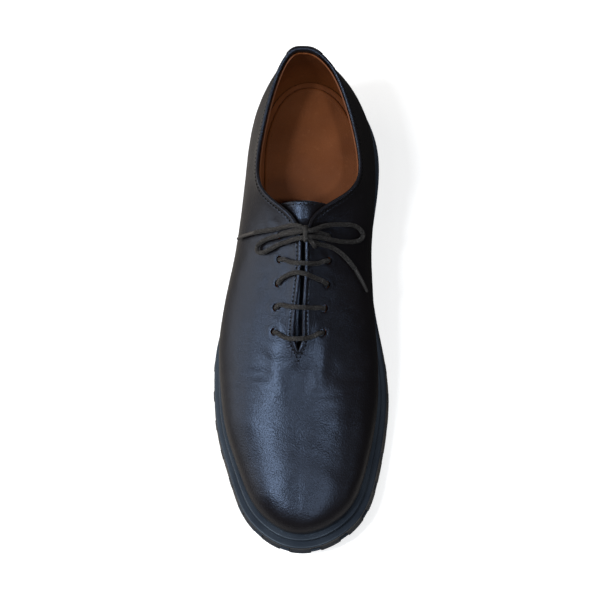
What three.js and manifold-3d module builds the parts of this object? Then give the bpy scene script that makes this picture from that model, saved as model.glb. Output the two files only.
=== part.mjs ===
// A right wholecut oxford shoe on a lugged rubber sole, in millimetres, +Z up.
// The toe points to -Y and the inner side of the foot to +X.
// The origin is on the floor, under the middle of the sole's box.

import * as THREE from 'three';
import * as BufferGeometryUtils from 'three/addons/utils/BufferGeometryUtils.js';
import Module from 'manifold-3d';

// Last: the foot form that the upper is pulled over
const lastLength = 289;
const ballWidth = 95;
const collarWidth = 65;
const heelHeight = 35;
const foreHeight = 20;
const toeSpring = 8.6;
const backHeight = 60;
const instepHeight = 58.5;

// Upper
const upperWall = 2.2;
const collarBead = 0.5;
const slitEnd = 0.73;
const throatFoot = 0.49;
const collarFrontFoot = 0.36;
const eyeletBore = 3.4;
const eyeletSetback = 14.6;
const eyeletPitch = 13.8;
const throatToEyelet = 4;
const eyeletPairs = 5;

// Tongue
const tongueThickness = 2;
const tongueWidth = 42;
const tongueNarrowing = 0.72;
const tongueRootSetback = 3;
const tongueStandout = 15.5;
const tongueLength = 97;
const tongueRise = 0.33;

// Insole, the sock on it, and the tab folded over the back of the collar
const insoleThickness = 2.8;
const sockThickness = 1.2;
const sockInset = 6.5;
const tabThickness = 0.9;
const tabDepth = 6;
const tabWidth = 21;

// Sole
const midsoleThickness = 3.4;
const midsoleEdge = 3.8;
const soleEdge = 8.2;
const soleThickness = 16;
const edgeBand = 4.2;
const edgeGroove = 1.1;
const heelBreast = 82;
const heelDraft = 2.2;
const lugDepth = 5;
const lugReach = 13;
const lugPitch = 18;
const lugGap = 6;
const lugsFrom = 0.6;
const wellFrom = 0.62;
const wellTo = 0.93;
const starSize = 15;
const starArm = 6;
const starCount = 5;

// Lace
const laceDiameter = 2.8;
const laceSides = 8;

// Running gap between two pieces that touch
const clearance = 0.3;

// How far a cutting shape stands past what it cuts
const overlapForCut = 2;

// Plan of the feather line, where the upper meets the sole.
// along: share of lastLength from the heel; half: share of half the ballWidth;
// swing: share of ballWidth, towards the inner side; edge: share of the sole's edge past the feather line
const PLAN = [
  { along: 0.0, half: 0.0, swing: 0.0, edge: 0.56 },
  { along: 0.03, half: 0.415, swing: 0.004, edge: 0.56 },
  { along: 0.08, half: 0.615, swing: 0.013, edge: 0.56 },
  { along: 0.16, half: 0.75, swing: 0.025, edge: 0.56 },
  { along: 0.26, half: 0.75, swing: 0.023, edge: 0.55 },
  { along: 0.36, half: 0.725, swing: 0.003, edge: 0.55 },
  { along: 0.44, half: 0.762, swing: -0.012, edge: 0.56 },
  { along: 0.52, half: 0.86, swing: -0.028, edge: 0.6 },
  { along: 0.6, half: 0.965, swing: -0.032, edge: 0.66 },
  { along: 0.69, half: 1.0, swing: -0.017, edge: 0.7 },
  { along: 0.775, half: 0.95, swing: -0.007, edge: 0.72 },
  { along: 0.86, half: 0.815, swing: 0.013, edge: 0.8 },
  { along: 0.945, half: 0.59, swing: 0.025, edge: 0.94 },
  { along: 0.98, half: 0.365, swing: 0.022, edge: 0.98 },
  { along: 1.0, half: 0.0, swing: 0.016, edge: 1.0 },
];

// Side profile of the last's bottom.
// arch: share of the drop from heel to ball; spring: share of toeSpring; gauge: share of soleThickness
const PROFILE = [
  { along: -0.03, arch: 1.0, spring: 0.0, gauge: 0.46 },
  { along: 0.1, arch: 0.99, spring: 0.0, gauge: 0.46 },
  { along: 0.2, arch: 0.94, spring: 0.0, gauge: 0.46 },
  { along: 0.28, arch: 0.84, spring: 0.0, gauge: 0.47 },
  { along: 0.36, arch: 0.69, spring: 0.0, gauge: 0.53 },
  { along: 0.44, arch: 0.49, spring: 0.0, gauge: 0.68 },
  { along: 0.52, arch: 0.27, spring: 0.0, gauge: 0.88 },
  { along: 0.6, arch: 0.1, spring: 0.0, gauge: 1.02 },
  { along: 0.68, arch: 0.01, spring: 0.0, gauge: 1.03 },
  { along: 0.74, arch: 0.0, spring: 0.01, gauge: 1.02 },
  { along: 0.8, arch: 0.0, spring: 0.05, gauge: 1.0 },
  { along: 0.86, arch: 0.0, spring: 0.17, gauge: 0.95 },
  { along: 0.92, arch: 0.0, spring: 0.42, gauge: 0.88 },
  { along: 0.96, arch: 0.0, spring: 0.68, gauge: 0.83 },
  { along: 1.03, arch: 0.0, spring: 1.2, gauge: 0.78 },
];

// Tops of the upper's ribs. Each rib is a curve from the feather line to the collar, the slit or the ridge.
// along: where the rib starts on the feather line; top: share of lastLength where it ends;
// spread: share of half the collarWidth; drift, tilt: shares of collarWidth, towards the inner side and up;
// back and instep: shares of backHeight and instepHeight above the last's bottom
const RIB_TOPS = [
  { along: 0.0, top: 0.016, spread: 0.0, drift: -0.028, tilt: 0.0, back: 1.0, instep: 0.0 },
  { along: 0.03, top: 0.026, spread: 0.29, drift: -0.016, tilt: 0.0, back: 0.988, instep: 0.0 },
  { along: 0.08, top: 0.059, spread: 0.53, drift: 0.008, tilt: 0.003, back: 0.935, instep: 0.0 },
  { along: 0.16, top: 0.131, spread: 0.775, drift: 0.028, tilt: 0.012, back: 0.847, instep: 0.0 },
  { along: 0.26, top: 0.235, spread: 0.97, drift: 0.044, tilt: 0.022, back: 0.776, instep: 0.0 },
  { along: 0.36, top: 0.315, spread: 0.835, drift: 0.034, tilt: 0.012, back: 0.45, instep: 0.383 },
  { along: 0.4, top: 0.341, spread: 0.6, drift: 0.014, tilt: 0.004, back: 0.26, instep: 0.63 },
  { along: 0.435, top: 0.363, spread: 0.36, drift: 0.004, tilt: 0.0, back: 0.12, instep: 0.82 },
  { along: 0.465, top: 0.381, spread: 0.215, drift: 0.009, tilt: 0.0, back: 0.04, instep: 0.93 },
  { along: 0.49, top: 0.396, spread: 0.15, drift: 0.016, tilt: 0.0, back: 0.0, instep: 0.99 },
  { along: 0.52, top: 0.419, spread: 0.09, drift: 0.021, tilt: 0.0, back: 0.0, instep: 0.992 },
  { along: 0.56, top: 0.46, spread: 0.077, drift: 0.023, tilt: 0.0, back: 0.0, instep: 0.952 },
  { along: 0.62, top: 0.526, spread: 0.085, drift: 0.005, tilt: 0.0, back: 0.0, instep: 0.88 },
  { along: 0.68, top: 0.595, spread: 0.105, drift: -0.016, tilt: 0.0, back: 0.0, instep: 0.775 },
  { along: 0.71, top: 0.626, spread: 0.078, drift: -0.015, tilt: 0.0, back: 0.0, instep: 0.724 },
  { along: 0.73, top: 0.647, spread: 0.0, drift: -0.014, tilt: 0.0, back: 0.0, instep: 0.69 },
  { along: 0.79, top: 0.709, spread: 0.0, drift: -0.009, tilt: 0.0, back: 0.0, instep: 0.605 },
  { along: 0.86, top: 0.775, spread: 0.0, drift: -0.003, tilt: 0.0, back: 0.0, instep: 0.528 },
  { along: 0.93, top: 0.837, spread: 0.0, drift: 0.005, tilt: 0.0, back: 0.0, instep: 0.467 },
  { along: 0.98, top: 0.874, spread: 0.0, drift: 0.01, tilt: 0.0, back: 0.0, instep: 0.429 },
  { along: 1.0, top: 0.886, spread: 0.0, drift: 0.011, tilt: 0.0, back: 0.0, instep: 0.414 },
];

// Bend of each rib.
// lean and fall: degrees from upright at its foot, and below level at its top;
// low and high: reach of its two ends, as shares of its chord
const RIB_BENDS = [
  { along: 0.0, lean: 18, fall: 83, low: 0.38, high: 0.3 },
  { along: 0.03, lean: 18, fall: 82, low: 0.38, high: 0.3 },
  { along: 0.08, lean: 20, fall: 80, low: 0.38, high: 0.3 },
  { along: 0.16, lean: 24, fall: 77, low: 0.4, high: 0.3 },
  { along: 0.26, lean: 36, fall: 74, low: 0.43, high: 0.3 },
  { along: 0.36, lean: 46, fall: 64, low: 0.45, high: 0.32 },
  { along: 0.4, lean: 46, fall: 58, low: 0.45, high: 0.33 },
  { along: 0.435, lean: 45, fall: 54, low: 0.44, high: 0.33 },
  { along: 0.465, lean: 43, fall: 50, low: 0.43, high: 0.32 },
  { along: 0.49, lean: 40, fall: 47, low: 0.42, high: 0.31 },
  { along: 0.52, lean: 36, fall: 43, low: 0.41, high: 0.3 },
  { along: 0.56, lean: 30, fall: 37, low: 0.4, high: 0.3 },
  { along: 0.62, lean: 22, fall: 29, low: 0.39, high: 0.33 },
  { along: 0.68, lean: 14, fall: 17, low: 0.39, high: 0.37 },
  { along: 0.71, lean: 12, fall: 11, low: 0.39, high: 0.39 },
  { along: 0.73, lean: 11, fall: 6, low: 0.39, high: 0.4 },
  { along: 0.79, lean: 9, fall: 0, low: 0.4, high: 0.44 },
  { along: 0.86, lean: 8, fall: 0, low: 0.41, high: 0.46 },
  { along: 0.93, lean: 7, fall: 0, low: 0.42, high: 0.48 },
  { along: 0.98, lean: 6, fall: 0, low: 0.42, high: 0.5 },
  { along: 1.0, lean: 5, fall: 0, low: 0.42, high: 0.5 },
];

// Stretches of the feather line and the number of steps that each is drawn with
const STRETCHES = [
  { to: 0.36, steps: 14 },
  { to: 0.56, steps: 14 },
  { to: slitEnd, steps: 7 },
  { to: 1.0, steps: 16 },
];
const ribSteps = 8;

const wasm = await Module();
wasm.setup();

// A smooth curve through a table's column: ends level where the shape runs on past the heel and toe
function curveThrough(places, values, levelEnds) {
  const last = places.length - 1;
  const span = places.slice(1).map((place, i) => place - places[i]);
  const rise = span.map((width, i) => (values[i + 1] - values[i]) / width);
  const lower = new Array(last + 1).fill(0);
  const middle = new Array(last + 1).fill(1);
  const upper = new Array(last + 1).fill(0);
  const right = new Array(last + 1).fill(0);
  for (let i = 1; i < last; i += 1) {
    lower[i] = span[i - 1];
    middle[i] = 2 * (span[i - 1] + span[i]);
    upper[i] = span[i];
    right[i] = 6 * (rise[i] - rise[i - 1]);
  }
  if (levelEnds) {
    middle[0] = 2 * span[0];
    upper[0] = span[0];
    right[0] = 6 * rise[0];
    middle[last] = 2 * span[last - 1];
    lower[last] = span[last - 1];
    right[last] = -6 * rise[last - 1];
  }
  for (let i = 1; i <= last; i += 1) {
    const factor = lower[i] / middle[i - 1];
    middle[i] -= factor * upper[i - 1];
    right[i] -= factor * right[i - 1];
  }
  const bend = new Array(last + 1).fill(0);
  bend[last] = right[last] / middle[last];
  for (let i = last - 1; i >= 0; i -= 1) {
    bend[i] = (right[i] - upper[i] * bend[i + 1]) / middle[i];
  }
  return (place) => {
    let i = 0;
    while (i < last - 1 && place > places[i + 1]) i += 1;
    const before = (places[i + 1] - place) / span[i];
    const after = 1 - before;
    const curve = (before ** 3 - before) * bend[i] + (after ** 3 - after) * bend[i + 1];
    return before * values[i] + after * values[i + 1] + (curve * span[i] ** 2) / 6;
  };
}

// Places along the last are counted by an angle, so that the heel and toe close round
const turnAt = (share) => Math.acos(1 - 2 * Math.min(1, Math.max(0, share))) / Math.PI;
const shareAt = (turn) => (1 - Math.cos(Math.PI * turn)) / 2;

function columnCurve(table, column, byTurn, levelEnds) {
  const places = table.map((row) => (byTurn ? turnAt(row.along) : row.along));
  return curveThrough(places, table.map((row) => row[column]), levelEnds);
}

const planHalf = columnCurve(PLAN, 'half', true, false);
const planSwing = columnCurve(PLAN, 'swing', true, true);
const planEdge = columnCurve(PLAN, 'edge', true, true);
const profileArch = columnCurve(PROFILE, 'arch', false, false);
const profileSpring = columnCurve(PROFILE, 'spring', false, false);
const profileGauge = columnCurve(PROFILE, 'gauge', false, false);

const rib = { spread: columnCurve(RIB_TOPS, 'spread', true, false) };
for (const column of ['top', 'drift', 'tilt', 'back', 'instep']) {
  rib[column] = columnCurve(RIB_TOPS, column, true, true);
}
for (const column of ['lean', 'fall', 'low', 'high']) {
  rib[column] = columnCurve(RIB_BENDS, column, true, true);
}
const slitEndTurn = turnAt(slitEnd);
const throatTurn = turnAt(throatFoot);
const collarFrontTurn = turnAt(collarFrontFoot);

// Height of the last's bottom, and of the tread, over the floor
function seatHeight(along) {
  const share = along / lastLength;
  const drop = (heelHeight - foreHeight) * Math.max(0, profileArch(share));
  return foreHeight + drop + toeSpring * Math.max(0, profileSpring(share));
}

const soleTop = (along) => seatHeight(along) - clearance - midsoleThickness - clearance;

function treadHeight(along) {
  return Math.max(0, soleTop(along) - profileGauge(along / lastLength) * soleThickness);
}

// A point of the feather line with its outward direction in plan.
// side is 1 on the inner side and -1 on the outer
function featherPoint(turn, side) {
  const across = (at) => planSwing(at) * ballWidth + (side * planHalf(at) * ballWidth) / 2;
  const point = { along: lastLength * shareAt(turn), across: across(turn) };
  const step = 1e-4;
  const from = Math.max(0, turn - step);
  const to = Math.min(1, turn + step);
  const forward = lastLength * (shareAt(to) - shareAt(from));
  const sideways = across(to) - across(from);
  const length = Math.hypot(forward, sideways);
  point.outAlong = (-side * sideways) / length;
  point.outAcross = (side * forward) / length;
  if (turn <= step) Object.assign(point, { outAlong: -1, outAcross: 0 });
  if (turn >= 1 - step) Object.assign(point, { outAlong: 1, outAcross: 0 });
  return point;
}

function edgePoint(turn, side, reach) {
  const point = featherPoint(turn, side);
  return { along: point.along + point.outAlong * reach, across: point.across + point.outAcross * reach };
}

const soleReach = (turn) => planEdge(turn) * soleEdge;
const midsoleReach = (turn) => planEdge(turn) * midsoleEdge;

// The middle of the sole's box is the origin
const outlineTurns = Array.from({ length: 401 }, (_, i) => i / 400);
const outline = outlineTurns.flatMap((turn) => [-1, 1].map((side) => edgePoint(turn, side, soleReach(turn))));
const middleOf = (values) => (Math.min(...values) + Math.max(...values)) / 2;
const middleAlong = middleOf(outline.map((point) => point.along));
const middleAcross = middleOf(outline.map((point) => point.across));
function place(along, across, height) {
  return new THREE.Vector3(across - middleAcross, middleAlong - along, height);
}

// The upper's outer surface: the rib at a turn on one side, climbed from 0 at its foot to 1 at its top
function topPoint(turn, side) {
  const along = rib.top(turn) * lastLength;
  const spread = turn >= slitEndTurn ? 0 : (rib.spread(turn) * collarWidth) / 2;
  const height =
    seatHeight(along) +
    rib.back(turn) * backHeight +
    rib.instep(turn) * instepHeight +
    side * rib.tilt(turn) * collarWidth;
  return { along, across: rib.drift(turn) * collarWidth + side * spread, height };
}

const throatAlong = topPoint(throatTurn, 1).along;
const slopeStep = 0.03;
const smooth = (from, to, value) => THREE.MathUtils.smoothstep(value, from, to);

function skinPoint(turn, side, climb) {
  const foot = featherPoint(turn, side);
  foot.height = seatHeight(foot.along);
  const top = topPoint(turn, side);
  const apart = [foot.along - top.along, foot.across - top.across, foot.height - top.height];
  const chord = Math.hypot(...apart);
  const level = Math.hypot(apart[0], apart[1]);
  const lean = THREE.MathUtils.degToRad(rib.lean(turn));
  const fall = THREE.MathUtils.degToRad(Math.max(0, rib.fall(turn)));
  const ahead = topPoint(Math.min(1, turn + slopeStep), side);
  const behind = topPoint(Math.max(0, turn - slopeStep), side);
  const onRidge = smooth(collarFrontTurn, throatTurn, turn);
  const ridgeSlope = (onRidge * (ahead.height - behind.height)) / (ahead.along - behind.along);
  const low = rib.low(turn) * chord;
  const high = rib.high(turn) * chord;
  const awayAlong = (apart[0] / level) * Math.cos(fall);
  const awayAcross = (apart[1] / level) * Math.cos(fall);
  const curve = new THREE.CubicBezierCurve3(
    place(foot.along, foot.across, foot.height),
    place(
      foot.along + low * Math.sin(lean) * foot.outAlong,
      foot.across + low * Math.sin(lean) * foot.outAcross,
      foot.height + low * Math.cos(lean),
    ),
    place(
      top.along + high * awayAlong,
      top.across + high * awayAcross,
      top.height + high * (ridgeSlope * awayAlong - Math.sin(fall)),
    ),
    place(top.along, top.across, top.height),
  );
  return curve.getPoint(climb);
}

// Finds the rib and climb whose point stands over a place in plan, on the upper's top half
function climbTo(along, across, side) {
  const target = place(along, across, 0);
  let turn = turnAt(along / lastLength + 0.07);
  let climb = 0.85;
  for (let round = 0; round < 25; round += 1) {
    const step = 1e-3;
    const here = skinPoint(turn, side, climb);
    const byTurn = skinPoint(turn + step, side, climb).sub(here).divideScalar(step);
    const byClimb = skinPoint(turn, side, climb - step).sub(here).divideScalar(-step);
    const missX = target.x - here.x;
    const missY = target.y - here.y;
    const scale = byTurn.x * byClimb.y - byTurn.y * byClimb.x;
    turn += (missX * byClimb.y - missY * byClimb.x) / scale;
    climb += (byTurn.x * missY - byTurn.y * missX) / scale;
    turn = Math.min(0.98, Math.max(0.05, turn));
    climb = Math.min(0.999, Math.max(0.3, climb));
  }
  return { turn, climb };
}

function skinNormal(turn, side, climb) {
  const step = 2e-3;
  const here = skinPoint(turn, side, climb);
  const byTurn = skinPoint(turn + step, side, climb).sub(here);
  const byClimb = skinPoint(turn, side, climb - step).sub(here);
  const normal = byTurn.cross(byClimb).normalize();
  return normal.z < 0 ? normal.negate() : normal;
}

// Meshes from point lists
function solidFrom(points, faces) {
  const positions = new Float32Array(points.length * 3);
  points.forEach((point, i) => positions.set([point.x, point.y, point.z], i * 3));
  const geometry = new THREE.BufferGeometry();
  geometry.setAttribute('position', new THREE.BufferAttribute(positions, 3));
  geometry.setIndex(faces.flat());
  return geometry;
}

function toSolid(geometry) {
  const bare = geometry.clone();
  bare.deleteAttribute('normal');
  bare.deleteAttribute('uv');
  const merged = BufferGeometryUtils.mergeVertices(bare, 1e-4);
  return new wasm.Manifold(
    new wasm.Mesh({
      numProp: 3,
      vertProperties: new Float32Array(merged.attributes.position.array),
      triVerts: new Uint32Array(merged.index.array),
    }),
  );
}

function toGeometry(solid) {
  const mesh = solid.getMesh();
  const geometry = new THREE.BufferGeometry();
  geometry.setAttribute('position', new THREE.BufferAttribute(new Float32Array(mesh.vertProperties), 3));
  geometry.setIndex(new THREE.BufferAttribute(new Uint32Array(mesh.triVerts), 1));
  return geometry;
}

const materials = {
  leather: new THREE.MeshStandardMaterial({ color: 0x1d1a1a, roughness: 0.42, metalness: 0 }),
  lining: new THREE.MeshStandardMaterial({ color: 0x8a5a35, roughness: 0.6, metalness: 0 }),
  rubber: new THREE.MeshStandardMaterial({ color: 0x14161c, roughness: 0.5, metalness: 0 }),
  lace: new THREE.MeshStandardMaterial({ color: 0x3a3431, roughness: 0.65, metalness: 0 }),
};

const shoe = new THREE.Group();

function addPiece(name, geometry, material) {
  const mesh = new THREE.Mesh(geometry, material);
  mesh.name = name;
  shoe.add(mesh);
  return mesh;
}

// Steps along the feather line
const turns = [0];
for (const stretch of STRETCHES) {
  const from = turns[turns.length - 1];
  const to = turnAt(stretch.to);
  for (let i = 1; i <= stretch.steps; i += 1) turns.push(from + ((to - from) * i) / stretch.steps);
}
const lastRib = turns.length - 1;
const slitRib = turns.findIndex((turn) => turn >= slitEndTurn - 1e-9);

// A slab that follows the last: layers from the top down, each with its reach in plan and its height
function slabAlong(layers, fromTurn, toTurn) {
  const used = turns.filter((turn) => turn > fromTurn + 1e-6 && turn < toTurn - 1e-6);
  const stations = [fromTurn, ...used, toTurn];
  const closedHeel = fromTurn === 0;
  const closedToe = toTurn === 1;
  const points = [];
  const faces = [];
  const rows = layers.map((layer) =>
    stations.map((turn) => {
      const isTip = (turn === 0 && closedHeel) || (turn === 1 && closedToe);
      const sides = (isTip ? [1] : [1, -1]).map((side) => {
        const point = edgePoint(turn, side, layer.reach(turn));
        points.push(place(point.along, point.across, layer.height(point.along)));
        return points.length - 1;
      });
      return { inner: sides[0], outer: sides[sides.length - 1] };
    }),
  );
  const quad = (a, b, c, d) => {
    if (a !== b && b !== c && a !== c) faces.push([a, b, c]);
    if (a !== c && c !== d && a !== d) faces.push([a, c, d]);
  };
  const top = rows[0];
  const bottom = rows[rows.length - 1];
  for (let i = 0; i < stations.length - 1; i += 1) {
    quad(top[i].inner, top[i].outer, top[i + 1].outer, top[i + 1].inner);
    quad(bottom[i].inner, bottom[i + 1].inner, bottom[i + 1].outer, bottom[i].outer);
    for (let layer = 0; layer < rows.length - 1; layer += 1) {
      const above = rows[layer];
      const below = rows[layer + 1];
      quad(above[i].inner, above[i + 1].inner, below[i + 1].inner, below[i].inner);
      quad(above[i].outer, below[i].outer, below[i + 1].outer, above[i + 1].outer);
    }
  }
  const ends = [];
  if (!closedHeel) ends.push({ at: 0, flip: false });
  if (!closedToe) ends.push({ at: stations.length - 1, flip: true });
  for (const end of ends) {
    for (let layer = 0; layer < rows.length - 1; layer += 1) {
      const above = rows[layer][end.at];
      const below = rows[layer + 1][end.at];
      if (end.flip) quad(above.inner, above.outer, below.outer, below.inner);
      else quad(above.inner, below.inner, below.outer, above.outer);
    }
  }
  return solidFrom(points, faces);
}

// The rim's roundness, as a share of the wall
const beadShare = 0.35;

// Upper: one hollow wall, open at the collar, the slit and underneath
function buildUpper() {
  const outer = [];
  const index = new Map();
  const key = (i, side, j) => {
    const onRim = i === 0 || i === lastRib;
    const onRidge = j === ribSteps && i >= slitRib;
    return onRim || onRidge ? `${i}:0:${j}` : `${i}:${side}:${j}`;
  };
  const grid = (i, side, j) => {
    const name = key(i, side, j);
    if (!index.has(name)) {
      index.set(name, outer.length);
      outer.push(skinPoint(turns[i], side, j / ribSteps));
    }
    return index.get(name);
  };
  const faces = [];
  const addFace = (a, b, c) => {
    if (a !== b && b !== c && a !== c) faces.push([a, b, c]);
  };
  for (const side of [1, -1]) {
    for (let i = 0; i < lastRib; i += 1) {
      for (let j = 0; j < ribSteps; j += 1) {
        const a = grid(i, side, j);
        const b = grid(i + 1, side, j);
        const c = grid(i + 1, side, j + 1);
        const d = grid(i, side, j + 1);
        if (side > 0) {
          addFace(a, c, b);
          addFace(a, d, c);
        } else {
          addFace(a, b, c);
          addFace(a, c, d);
        }
      }
    }
  }
  const skin = solidFrom(outer, faces);
  skin.computeVertexNormals();
  const normals = skin.attributes.normal;
  const normal = outer.map((_, i) => new THREE.Vector3().fromBufferAttribute(normals, i));
  const points = outer.map((point) => point.clone());
  const inside = outer.map((point, i) => {
    points.push(point.clone().addScaledVector(normal[i], -upperWall));
    return points.length - 1;
  });
  const all = faces.slice();
  for (const [a, b, c] of faces) all.push([inside[a], inside[c], inside[b]]);

  // The rim is a round bead at the collar and slit, and plain at the feather line
  const rimLoop = [];
  for (let i = slitRib; i >= 0; i -= 1) rimLoop.push(grid(i, 1, ribSteps));
  for (let i = 1; i < slitRib; i += 1) rimLoop.push(grid(i, -1, ribSteps));
  const beads = rimLoop.map((vertex, i) => {
    const next = outer[rimLoop[(i + 1) % rimLoop.length]];
    const before = outer[rimLoop[(i + rimLoop.length - 1) % rimLoop.length]];
    const run = next.clone().sub(before).normalize();
    const upward = normal[vertex].clone().cross(run).normalize();
    const middle = outer[vertex].clone().addScaledVector(normal[vertex], -upperWall / 2);
    const raise = upperWall * beadShare + (i === 0 ? 0 : collarBead);
    points.push(middle.addScaledVector(upward, -raise));
    return points.length - 1;
  });
  for (let i = 0; i < rimLoop.length; i += 1) {
    const next = (i + 1) % rimLoop.length;
    const [a, b] = [rimLoop[i], rimLoop[next]];
    all.push([a, b, beads[i]], [b, beads[next], beads[i]]);
    all.push([beads[i], beads[next], inside[b]], [beads[i], inside[b], inside[a]]);
  }
  const footLoop = [];
  for (let i = 0; i <= lastRib; i += 1) footLoop.push(grid(i, 1, 0));
  for (let i = lastRib - 1; i > 0; i -= 1) footLoop.push(grid(i, -1, 0));
  for (let i = 0; i < footLoop.length; i += 1) {
    const [a, b] = [footLoop[i], footLoop[(i + 1) % footLoop.length]];
    all.push([a, b, inside[a]], [b, inside[b], inside[a]]);
  }
  return toSolid(solidFrom(points, all));
}

const eyelets = [];
for (let pair = 0; pair < eyeletPairs; pair += 1) {
  const along = throatAlong + throatToEyelet + pair * eyeletPitch;
  for (const side of [1, -1]) {
    const slitTurn = turns.reduce((best, turn) => {
      const miss = Math.abs(topPoint(turn, side).along - along);
      return miss < Math.abs(topPoint(best, side).along - along) ? turn : best;
    }, 0);
    const across = rib.drift(slitTurn) * collarWidth + side * eyeletSetback;
    const found = climbTo(along, across, side);
    const point = skinPoint(found.turn, side, found.climb);
    eyelets.push({ pair, side, along, across, point, normal: skinNormal(found.turn, side, found.climb) });
  }
}

const rod = new THREE.Vector3(0, 1, 0);

function drill(solid) {
  return eyelets.reduce((rest, eyelet) => {
    const bore = new THREE.CylinderGeometry(eyeletBore / 2, eyeletBore / 2, upperWall * 4, 10);
    bore.applyQuaternion(new THREE.Quaternion().setFromUnitVectors(rod, eyelet.normal));
    bore.translate(eyelet.point.x, eyelet.point.y, eyelet.point.z);
    return rest.subtract(toSolid(bore));
  }, solid);
}

addPiece('upper', toGeometry(drill(buildUpper())), materials.leather);

// Midsole, whose edge shows as the welt
const midsoleGeometry = slabAlong(
  [
    { reach: midsoleReach, height: (along) => seatHeight(along) - clearance },
    { reach: midsoleReach, height: (along) => seatHeight(along) - clearance - midsoleThickness },
  ],
  0,
  1,
);
addPiece('midsole', midsoleGeometry, materials.rubber);

// Insole, inside the wall's foot
function insoleReach(turn) {
  return -(upperWall + clearance * 1.5) / Math.cos(THREE.MathUtils.degToRad(rib.lean(turn)));
}
const insoleGeometry = slabAlong(
  [
    { reach: insoleReach, height: (along) => seatHeight(along) + insoleThickness },
    { reach: insoleReach, height: (along) => seatHeight(along) },
  ],
  0,
  1,
);
addPiece('insole', insoleGeometry, materials.lining);

// Sock: the thin cover that the foot stands on
const insoleTop = (along) => seatHeight(along) + insoleThickness;
const sockReach = (turn) => Math.min(-sockInset, insoleReach(turn) - clearance);
const sockGeometry = slabAlong(
  [
    { reach: sockReach, height: (along) => insoleTop(along) + clearance + sockThickness },
    { reach: sockReach, height: (along) => insoleTop(along) + clearance },
  ],
  0,
  1,
);
addPiece('sock', sockGeometry, materials.lining);

// Tongue: a sheet that lies under the slit's two sides and stands out past the throat
const tongueTop = upperWall + clearance * 2.5;
const tongueRoot = throatAlong + tongueRootSetback;
const tongueTip = throatAlong - tongueStandout;

function lowSkin(along, across) {
  const side = across > slitMiddle(along) ? 1 : -1;
  const found = climbTo(along, across, side);
  const point = skinPoint(found.turn, side, found.climb);
  const upward = skinNormal(found.turn, side, found.climb).z;
  return point.z - tongueTop / upward;
}

function slitMiddle(along) {
  const wanted = Math.max(along, throatAlong);
  let [from, to] = [throatTurn, 1];
  for (let round = 0; round < 30; round += 1) {
    const middle = (from + to) / 2;
    if (rib.top(middle) * lastLength < wanted) from = middle;
    else to = middle;
  }
  return rib.drift(from) * collarWidth;
}

function buildTongue() {
  const shares = [-1, -0.78, -0.56, -0.36, -0.19, 0, 0.19, 0.36, 0.56, 0.78, 1];
  const rows = [];
  const rowCount = 13;
  for (let i = 0; i <= rowCount; i += 1) {
    const along = tongueTip + (tongueLength * i) / rowCount;
    const narrowing = THREE.MathUtils.lerp(1, tongueNarrowing, i / rowCount);
    rows.push({ along, half: (tongueWidth / 2) * narrowing, middle: slitMiddle(along) });
  }
  const middleShare = shares.indexOf(0);
  const top = rows.map((row) => {
    const root = Math.max(row.along, tongueRoot);
    const past = root - row.along;
    const skin = shares.map((share) => (share === 0 ? 0 : lowSkin(root, row.middle + share * row.half)));
    const [first, second] = [1, 2].map((step) => (skin[middleShare - step] + skin[middleShare + step]) / 2);
    const [nearSquare, farSquare] = [shares[middleShare + 1] ** 2, shares[middleShare + 2] ** 2];
    skin[middleShare] = (first * farSquare - second * nearSquare) / (farSquare - nearSquare);
    return shares.map((share, j) => {
      return place(row.along, row.middle + share * row.half, skin[j] + past * tongueRise);
    });
  });
  const points = [];
  const faces = [];
  const across = shares.length;
  for (const drop of [0, tongueThickness]) {
    for (const row of top) for (const point of row) points.push(point.clone().setZ(point.z - drop));
  }
  const below = top.length * across;
  for (let i = 0; i < rowCount; i += 1) {
    for (let j = 0; j < across - 1; j += 1) {
      const a = i * across + j;
      const [b, c, d] = [a + 1, a + across + 1, a + across];
      faces.push([a, c, b], [a, d, c]);
      faces.push([below + a, below + b, below + c], [below + a, below + c, below + d]);
    }
  }
  const rim = [];
  for (let j = 0; j < across; j += 1) rim.push(j);
  for (let i = 1; i <= rowCount; i += 1) rim.push(i * across + across - 1);
  for (let j = across - 2; j >= 0; j -= 1) rim.push(rowCount * across + j);
  for (let i = rowCount - 1; i > 0; i -= 1) rim.push(i * across);
  rim.forEach((a, i) => {
    const b = rim[(i + 1) % rim.length];
    faces.push([a, b, below + b], [a, below + b, below + a]);
  });
  return solidFrom(points, faces);
}
addPiece('tongue', buildTongue(), materials.leather);

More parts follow.
